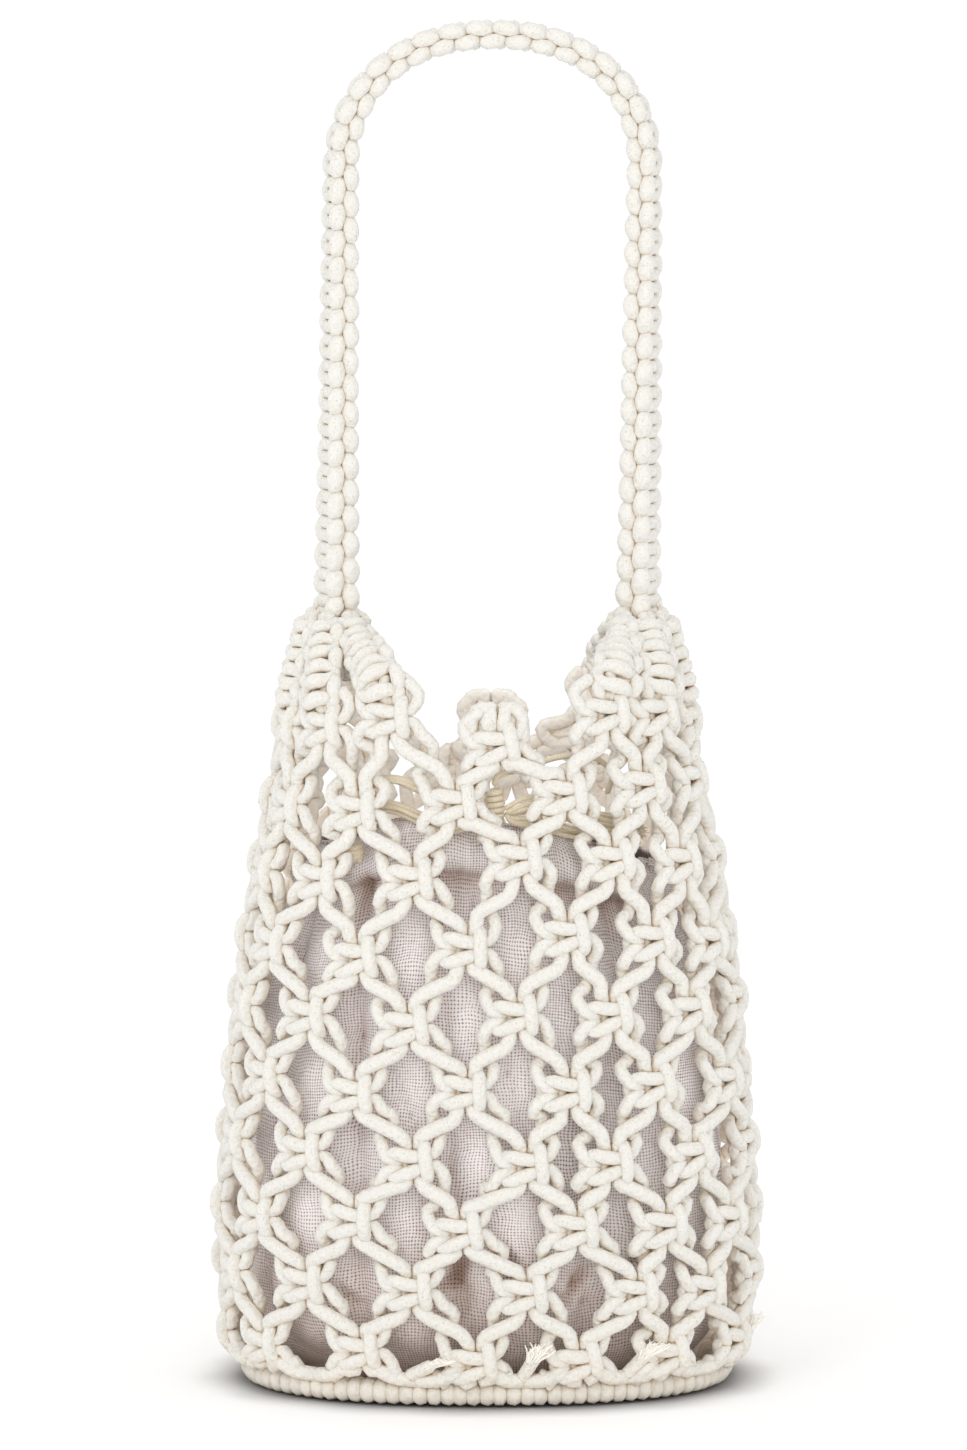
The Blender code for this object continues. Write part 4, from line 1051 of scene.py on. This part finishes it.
def build_rim():
    """Row of rope wraps round the bottom edge, and the rope that they hold."""
    x, y, _ = rim_frame(np.linspace(0.0, 1.0, 721)[:-1])
    around = path_length(np.stack((x, y, np.zeros_like(x)), axis=1))
    count = int(round(around / RIM_PITCH))
    place_on = np.arange(count * RIM_WRAP_POINTS) / RIM_WRAP_POINTS
    wrap = np.floor(place_on)
    turn = 2 * np.pi * (place_on - wrap)
    inner = np.clip((turn - 0.5 * np.pi) / np.pi, 0.0, 1.0)
    uneven = np.concatenate((random.normal(0.0, RIM_UNEVENNESS, count), [0.0]))
    uneven[-1] = uneven[0]
    index = wrap.astype(int)
    step_on = inner ** 2 * (3 - 2 * inner)
    share = (wrap + step_on + uneven[index] * (1 - step_on) + uneven[index + 1] * step_on) / count
    x, y, along = rim_frame(share)
    outwards, upwards = [np.sign(side) * np.abs(side) ** RIM_SQUARENESS
                         for side in (np.cos(turn), np.sin(turn))]
    swell = 1.0 + 0.05 * np.sin(1.7 * wrap) * np.maximum(np.cos(turn), 0.0)
    out = outwards * (RIM_WIDTH / 2 - RIM_ROPE) * swell
    height = RIM_HEIGHT / 2 + upwards * (RIM_HEIGHT / 2 - RIM_ROPE)
    ropes = Ropes()
    x = x + along[:, 1] * out
    y = y - along[:, 0] * out
    ropes.add(np.stack((x, y, height, np.full(len(x), RIM_ROPE)), axis=1), closed=True)
    x, y, _ = rim_frame(np.linspace(0.0, 1.0, 181)[:-1])
    level = np.full_like(x, RIM_HEIGHT / 2)
    ropes.add(np.stack((x, y, level, np.full_like(x, RIM_CORE_ROPE)), axis=1), closed=True)
    ropes.make("rim_wraps", rope, ["base_rim"])


def build_base():
    """Flat bottom woven from rope."""
    ropes = Ropes()
    half_width, half_depth = [half - RIM_WIDTH / 2 - BASE_CLEARANCE for half in rim_size()]

    for along_y in (True, False):
        half, other = (half_width, half_depth) if along_y else (half_depth, half_width)
        lines = int(half // BASE_PITCH)
        for i in range(-lines, lines + 1):
            share = min(1.0, abs(i * BASE_PITCH) / half)
            reach = other * (1.0 - share ** OVAL_POWER) ** (1 / OVAL_POWER)
            if reach < 2 * BASE_PITCH:
                continue
            count = max(6, int(2 * reach / CHAIN_SPACING))
            run = np.linspace(-reach, reach, count)
            sign = 1.0 if along_y else -1.0
            wave = sign * BASE_WAVE * np.cos(np.pi * run / BASE_PITCH) * (-1) ** i
            line = np.full(count, i * BASE_PITCH)
            x, y = (line, run) if along_y else (run, line)
            rows = np.stack((x, y, BASE_THICKNESS / 2 + wave, np.full(count, BASE_ROPE)), axis=1)
            ropes.add(rows, flat=((0, 0, 1), 0.5))
    ropes.make("base_weave", rope, ["base_panel"])


# Frayed ends

def fray(fibres, root, way, across, other, length, root_width, tip_width, count, thickness):
    """Loose fibres that spread from a cut end."""
    for i in range(count):
        angle = GOLDEN_TURN * i
        reach = math.sqrt((i + 0.5) / count)
        tip = reach * (1.0 + 0.25 * random.normal())
        reached = length * (1.0 - 0.15 * abs(random.normal()))
        rows = []
        for share in (0.0, 0.4, 0.75, 1.0):
            width = root_width * reach + (tip_width * tip - root_width * reach) * share ** 1.6
            aside = math.cos(angle) * width / 2 + FRAY_SWAY * share * random.normal()
            beyond = math.sin(angle) * width / 2 + FRAY_SWAY * share * random.normal()
            where = root + way * (share * reached) + across * aside + other * beyond
            rows.append((*where, thickness * (1.0 - 0.5 * share)))
        fibres.add(smooth_path(rows, length / 5), caps=False)


def build_rope_end(name, column, lean_along, lean_up, lean_out):
    """Short cut end of rope with its frayed tip."""
    step = ROW_STEPS[-2][column % (2 * KNOTS_ROUND)]
    point, along, up, out = wall_frame(step, RIM_HEIGHT + 0.003)
    root = point + up * 0.0005
    way = unit(along * lean_along + up * lean_up + out * lean_out)
    seat = out * 0.0008
    ropes = Ropes()
    ropes.add(smooth_path([(*(root + way * (END_STUB * share) + seat), END_ROPE)
                           for share in (-0.3, 0.2, 0.6, 1.0)], 0.002))
    fibres = Ropes(sides=4)
    fray(fibres, root + way * (END_STUB * 0.75) + seat, way, along, out, **END_FRAY)
    ropes.make(f"{name}_stub", rope, [name])
    fibres.make(f"{name}_fibres", loose_fibres, [name])


# Pouch

def pleat_wave(turn):
    """Fine pleats of the pouch's drawn-in top, from -1 to 1."""
    return np.cos(POUCH_PLEATS * turn + 2.1 * np.sin(5 * turn))


def pouch_fold(turn, share):
    """How far the cloth folds inwards, from 0 to 1, round the pouch and up it."""
    drift = 0.7 * np.sin(2 * turn + 1.1) + 0.5 * np.sin(3 * turn + 2.6 * share)
    broad = 1.0 - np.abs(np.sin(POUCH_FOLDS / 2 * turn + drift)) ** 0.55
    slanted = 1.0 - np.abs(np.sin(3.5 * turn + 4.2 * share + 0.9 * np.sin(4 * turn))) ** 0.45
    pleat = 0.5 - 0.5 * pleat_wave(turn)
    top = np.clip((share - 0.72) / 0.28, 0.0, 1.0) ** 1.5
    return np.clip(0.75 * broad + 0.45 * slanted + 0.30 * pleat * top, 0.0, 1.2)


def mouth_lift(x, y):
    """How far the pouch's rim rises or dips at a place."""
    across = np.asarray(x) / BODY_HALF_WIDTH
    front = np.clip(0.5 - np.asarray(y) / 0.05, 0.0, 1.0)
    lift = front * through(POUCH_MOUTH, across, 1) + (1.0 - front) * through(POUCH_MOUTH, across, 2)
    return 0.001 * lift


def low_creases(turn, share):
    """Sharp crumples near the ground, from 0 to 1."""
    low = np.clip(1.0 - share / 0.36, 0.0, 1.0) * min(1.0, share / 0.03)
    drift = 1.7 * np.sin(2 * turn + 0.6) + 0.8 * np.sin(5 * turn)
    level = 1.0 - np.abs(np.sin(15.0 * share + drift)) ** 0.5
    cross = 1.0 - np.abs(np.sin(6.0 * turn - 9.0 * share + 1.2 * np.sin(3 * turn))) ** 0.5
    return low * np.clip(0.8 * level + 0.5 * cross, 0.0, 1.0)


def tuck_depth(point):
    """How deep the pinched tucks press the cloth in at places."""
    total = np.zeros(len(point))
    for across, height, reach, lean, depth in POUCH_TUCKS:
        turn = math.radians(lean)
        aside = point[:, 0] * 1000.0 - across
        above = point[:, 2] * 1000.0 - height
        off = np.abs(aside * math.cos(turn) - above * math.sin(turn)) / TUCK_WIDTH
        run = (aside * math.sin(turn) + above * math.cos(turn)) / reach
        pinch = np.exp(-off ** 2) - 0.25 * np.exp(-(off - 2.0) ** 2)
        total += depth * pinch * np.clip(1.0 - run ** 2, 0.0, 1.0) * (point[:, 1] < 0.0)
    return 0.001 * total


def pouch_ring(share):
    """Corners of the cloth round the pouch at a share of its height."""
    turn = 2 * np.pi * np.arange(POUCH_COLUMNS) / POUCH_COLUMNS
    step = KNOTS_ROUND * np.arange(POUCH_COLUMNS) / POUCH_COLUMNS
    floor = BASE_THICKNESS + GAP
    height = floor + share * (POUCH_HEIGHT - floor)
    point, _, _, level = wall_frame(step, np.full(POUCH_COLUMNS, height))
    level[:, 2] = 0.0
    level = unit(level)
    draw = through(POUCH_SECTIONS, share, 1)
    fold = through(POUCH_SECTIONS, share, 2)
    slack = 0.0016 * (0.5 + 0.5 * np.sin(5 * turn + 9 * share)) * math.sin(math.pi * min(1.0, share * 1.1))
    folds = fold * POUCH_FOLD_DEPTH * pouch_fold(turn, share) + POUCH_CREASE_DEPTH * low_creases(turn, share)
    casing = math.sin(math.pi * np.clip((share - POUCH_NECK) / CASING_HEIGHT, 0.0, 1.0)) ** 0.6
    bulge = CASING_RISE + CASING_PLEAT * (1 + pleat_wave(turn))
    inward = KNOT_EDGE / 2 + POUCH_CLEARANCE + draw * BODY_HALF_DEPTH
    inward = inward + (folds + slack) * (1 - casing) - bulge * casing + tuck_depth(point)
    ring = point - level * inward[:, None]
    ring[:, 2] += mouth_lift(ring[:, 0], ring[:, 1]) * share ** 4
    return ring


def build_pouch():
    """Linen pouch: a cloth wall with folds, drawn in at its neck and open above it."""
    shares = np.concatenate((np.linspace(0.0, 0.06, 8, endpoint=False),
                             np.linspace(0.06, 0.82, 66, endpoint=False), np.linspace(0.82, 1.0, 40)))
    rings = [pouch_ring(share) for share in shares]
    centre = rings[0].mean(axis=0)
    floor_rings = [centre + (rings[0] - centre) * size for size in (0.04, 0.25, 0.5, 0.75)]
    corners = np.stack(floor_rings + rings)
    layers = len(corners)
    low = np.arange(layers - 1)[:, None] * POUCH_COLUMNS
    high = low + POUCH_COLUMNS
    column = np.arange(POUCH_COLUMNS)
    following = (column + 1) % POUCH_COLUMNS
    quads = np.stack((low + column, low + following, high + following, high + column), axis=-1)
    faces = quads.reshape(-1, 4).tolist()
    faces.append(column[::-1].tolist())
    mesh = bpy.data.meshes.new("pouch_cloth")
    mesh.from_pydata(corners.reshape(-1, 3).tolist(), [], faces)
    girth = path_length(corners[30])
    climb = lengths_along(corners[:, 0])
    shape = (layers - 1, POUCH_COLUMNS)
    u = np.broadcast_to(column / POUCH_COLUMNS, shape)
    ahead = u + 1.0 / POUCH_COLUMNS
    v = np.broadcast_to(climb[:-1][:, None], shape)
    above = np.broadcast_to(climb[1:][:, None], shape)
    u = np.stack((u, ahead, ahead, u), axis=-1) * girth
    v = np.stack((v, v, above, above), axis=-1)
    uv = np.stack((u, v), axis=-1)
    uvs = np.zeros((len(mesh.loops), 2), np.float32)
    uvs[:uv.size // 2] = uv.reshape(-1, 2) * 100.0
    mesh.uv_layers.new(name="cloth").data.foreach_set("uv", uvs.ravel())
    mesh.shade_smooth()
    cloth = place(mesh, "pouch_cloth", linen, ["pouch"])
    wall = cloth.modifiers.new("wall", "SOLIDIFY")
    wall.thickness = POUCH_WALL * 0.6
    wall.offset = -1.0


# Drawstring

def at_shares(row):
    """Position of a listed place on the drawstring."""
    return np.array((row[0] * BODY_HALF_WIDTH, row[1] * BODY_HALF_DEPTH, row[2] * POUCH_HEIGHT + CORD_LIFT))


def twisted(cords, rows, diameter, pitch, phase=0.0):
    """Add a cord laid from its plies along a path."""
    centre = rows[:, :3]
    way = unit(np.gradient(centre, axis=0))
    sides = carried_sides(way)
    other = np.cross(way, sides)
    length = lengths_along(centre)
    ply = diameter / (1.0 + 1.0 / math.sin(math.pi / CORD_PLIES))
    reach = diameter / 2 - ply
    for k in range(CORD_PLIES):
        turn = 2 * np.pi * (k / CORD_PLIES + length / pitch) + phase
        line = centre + reach * (sides * np.cos(turn)[:, None] + other * np.sin(turn)[:, None])
        cords.add(np.concatenate((line, np.full((len(line), 1), ply * 1.06)), axis=1))


def cord_along(route, diameter):
    """Fine smooth path along a drawstring route."""
    return smooth_path([(*at_shares(row), diameter / 2) for row in route], CORD_SPACING)


def neck_rows():
    """Path round the drawn-in neck, from under the front knot and back to it."""
    share, draw, _ = POUCH_SECTIONS[-2]
    draw_in = KNOT_EDGE / 2 + POUCH_CLEARANCE + draw * BODY_HALF_DEPTH - CORD_NECK / 2 - 0.0009
    height = BASE_THICKNESS + share * (POUCH_HEIGHT - BASE_THICKNESS)
    under = at_shares(CORD_KNOT_PLACE) - np.array((0.0, 0.0, CORD_KNOT_HEIGHT / 2 + GAP))
    side = np.array((0.24 * CORD_KNOT_WIDTH, 0.0, 0.0))
    drop = np.array((0.0, 0.0, CORD_NECK))
    rows = [under + side, under + side - drop]
    for step in 0.30 + (KNOTS_ROUND - 0.60) * np.arange(22) / 21:
        point, _, _, out = wall_frame(step, height)
        where = point - unit(out * (1.0, 1.0, 0.0)) * draw_in
        where[2] += mouth_lift(where[0], where[1]) * share ** 4
        rows.append(where)
    rows += [under - side - drop, under - side]
    return smooth_path([(*row, CORD_NECK / 2) for row in rows], 0.0011)


def build_wound_knot(name, centre, size, core):
    """Cord wound round an upright knot."""
    width, depth, height, diameter, turns = size
    count = int(turns * 16)
    share = np.linspace(0.0, 1.0, count)
    angle = 2 * np.pi * turns * share
    swell = 0.80 + 0.20 * np.sin(np.pi * share)
    x = centre[0] + np.cos(angle) * (width / 2 - diameter / 2) * swell
    y = centre[1] + np.sin(angle) * (depth / 2 - diameter / 2) * swell
    z = centre[2] + (share - 0.5) * (height - diameter)
    cords = Ropes(sides=8)
    cords.add(np.stack((x, y, z, np.full(count, diameter / 2)), axis=1))
    reach, radius = core
    rows = [(centre[0], centre[1], centre[2] + rise, radius) for rise in (-reach, 0.0, reach)]
    cords.add(smooth_path(rows, 0.003))
    cords.make(f"{name}_wraps", waxed, [name], "waxed_cord")


def declare(rows):
    """Points along a cord, every third row and the last; the list is not kept or used."""
    path = [tuple(float(x) for x in row[:3]) for row in rows[::3]]
    if (len(rows) - 1) % 3:
        path.append(tuple(float(x) for x in rows[-1][:3]))


def build_laid_cord(name, rows, diameter, pitch):
    """Single twisted cord along a path."""
    cords = Ropes(sides=6)
    twisted(cords, rows, diameter, pitch)
    piece = cords.make(f"{name}_cord", waxed, [name], "waxed_cord")
    declare(rows)


def build_bundle(name, route, strands):
    """Bundle of twisted strands along a route, with loose ones that hang beside it."""
    middle = cord_along(route, CORD_BUNDLE)
    way = unit(np.gradient(middle[:, :3], axis=0))
    level = unit(np.cross(way, (0.0, 0.0, 1.0)))
    rise = np.cross(level, way)
    share = np.linspace(0.0, 1.0, len(middle))
    cords = Ropes(sides=6)
    for k, (aside, above) in enumerate(BUNDLE_STRANDS):
        swing = 0.0004 * np.sin(2 * np.pi * share * 1.3 + 2.1 * k)
        line = middle.copy()
        line[:, :3] += level * (aside * 0.001 + swing)[:, None] + rise * (above * 0.001 + swing)[:, None]
        twisted(cords, line, CORD_STRAND, CORD_LAY, phase=k)
    piece = cords.make(f"{name}_cords", waxed, [name], "waxed_cord")
    spread = 0.12 + 0.88 * np.sin(np.pi * share ** 0.75) ** 0.8
    loose = Ropes(sides=6)
    for k, (aside, above) in enumerate(strands):
        line = middle.copy()
        line[:, :3] += level * (aside * 0.001 + 0.0006 * np.sin(8.0 * share + 2.1 * k))[:, None]
        line[:, 2] += above * 0.001 * spread
        twisted(loose, line, CORD_STRAND, CORD_LAY, phase=k)
    others = loose.make(f"{name}_strands", waxed, [name], "waxed_cord")
    declare(middle)


def build_drawstring():
    """Waxed cord: its neck, front knot, two tails, a loop, a stop and a frayed tuft."""
    build_laid_cord("drawstring_neck", neck_rows(), CORD_NECK, 0.009)
    build_wound_knot("drawstring_knot", at_shares(CORD_KNOT_PLACE), KNOT_WRAPS, KNOT_CORE)
    build_bundle("drawstring_left", LEFT_ROUTE, LEFT_STRANDS)
    build_bundle("drawstring_right", RIGHT_ROUTE, RIGHT_STRANDS)
    build_laid_cord("drawstring_loop", cord_along(LOOP_ROUTE, CORD_LOOP), CORD_LOOP, 0.0065)
    build_wound_knot("drawstring_stop", at_shares(CORD_STOP_PLACE), STOP_WRAPS, STOP_CORE)
    middle = cord_along(RIGHT_ROUTE, CORD_BUNDLE)[:, :3]
    way = unit(middle[-1] - middle[-4])
    across = unit(np.cross(way, (0.0, 0.0, 1.0)))
    fibres = Ropes(sides=4)
    fray(fibres, middle[-1] - way * 0.001, way, across, np.cross(way, across), **TUFT_FRAY)
    fibres.make("drawstring_tuft_fibres", waxed, ["drawstring_tuft"], "waxed_cord")


# Build everything

build_net()
build_handle()
build_rim()
build_base()
for side, label in ((1, "right"), (-1, "left")):
    for number, (column, fan) in enumerate(SINNETS, start=1):
        build_sinnet(label, number, side * column % (2 * KNOTS_ROUND), side, fan)
    build_gather(label, side)
for place_name, column in (("front", 0), ("back", 14)):
    for side, label in ((-1, "a"), (1, "b")):
        build_picot(place_name, column, side, label)
for end in ROPE_ENDS:
    build_rope_end(*end)
build_pouch()
build_drawstring()


# Floor, lights and camera

FLOOR_REACH = 60.0
FLOOR_GAP = 0.0004
LENS_HEIGHT = 24.0
VIEW_DISTANCE = 3.0
VIEW_HEIGHT = 0.609


def build_stage():
    """Pale floor with a soft painted contact shadow under the bag."""
    finish, tree, shader = shader_parts("pale_floor")
    # Painted shadow: the floor darkens to grey where ambient occlusion finds the bag close by
    near = add_node(tree, "ShaderNodeAmbientOcclusion", Distance=0.024, samples=12)
    painted_shadow_tone = ramp(tree, near.outputs["AO"], ((0.25, (0.30, 0.30, 0.31)), (0.88, (0.99, 0.99, 0.99))))
    tree.links.new(painted_shadow_tone, shader.inputs["Base Color"])
    settle(shader, Roughness=1.0, Specular_IOR_Level=0.0)
    mesh = bpy.data.meshes.new("floor")
    signs = ((-1, -1), (1, -1), (1, 1), (-1, 1))
    corners = [(x * FLOOR_REACH, y * FLOOR_REACH, -FLOOR_GAP) for x, y in signs]
    mesh.from_pydata(corners, [], [(0, 1, 2, 3)])
    mesh.materials.append(finish)
    floor = bpy.data.objects.new("floor", mesh)
    bpy.context.scene.collection.objects.link(floor)


def add_light(name, place_at, target, size, power, colour=(1.0, 1.0, 1.0)):
    """Large soft lamp aimed at a point."""
    lamp = bpy.data.lights.new(name, "AREA")
    lamp.shape = "RECTANGLE"
    lamp.size, lamp.size_y = size
    lamp.energy = power
    lamp.color = colour
    thing = bpy.data.objects.new(name, lamp)
    thing.location = place_at
    thing.rotation_euler = (Vector(target) - Vector(place_at)).to_track_quat("-Z", "Y").to_euler()
    bpy.context.scene.collection.objects.link(thing)


build_stage()
world = bpy.data.worlds.new("studio")
bpy.context.scene.world = world
world.use_nodes = True
world.node_tree.nodes["Background"].inputs[0].default_value = (1.0, 1.0, 1.0, 1.0)
world.node_tree.nodes["Background"].inputs[1].default_value = 1.02
add_light("key", (-1.2, -1.9, 1.7), (0.0, 0.0, 0.25), (0.9, 0.9), 7.6)
add_light("fill", (0.3, -2.7, 1.1), (0.0, 0.0, 0.27), (1.2, 1.2), 9.4, (1.0, 0.95, 0.88))
bpy.context.scene.view_settings.view_transform = "Standard"

lens = bpy.data.cameras.new("camera")
lens.sensor_fit = "VERTICAL"
lens.sensor_height = LENS_HEIGHT
lens.lens = LENS_HEIGHT * VIEW_DISTANCE / VIEW_HEIGHT
lens.clip_start = 0.1
lens.clip_end = 60.0
camera = bpy.data.objects.new("camera", lens)
camera.location = (-0.0015, -2.9836, 0.5900)
camera.rotation_euler = (math.radians(84.0), 0.0, 0.0)
bpy.context.scene.collection.objects.link(camera)
bpy.context.scene.camera = camera
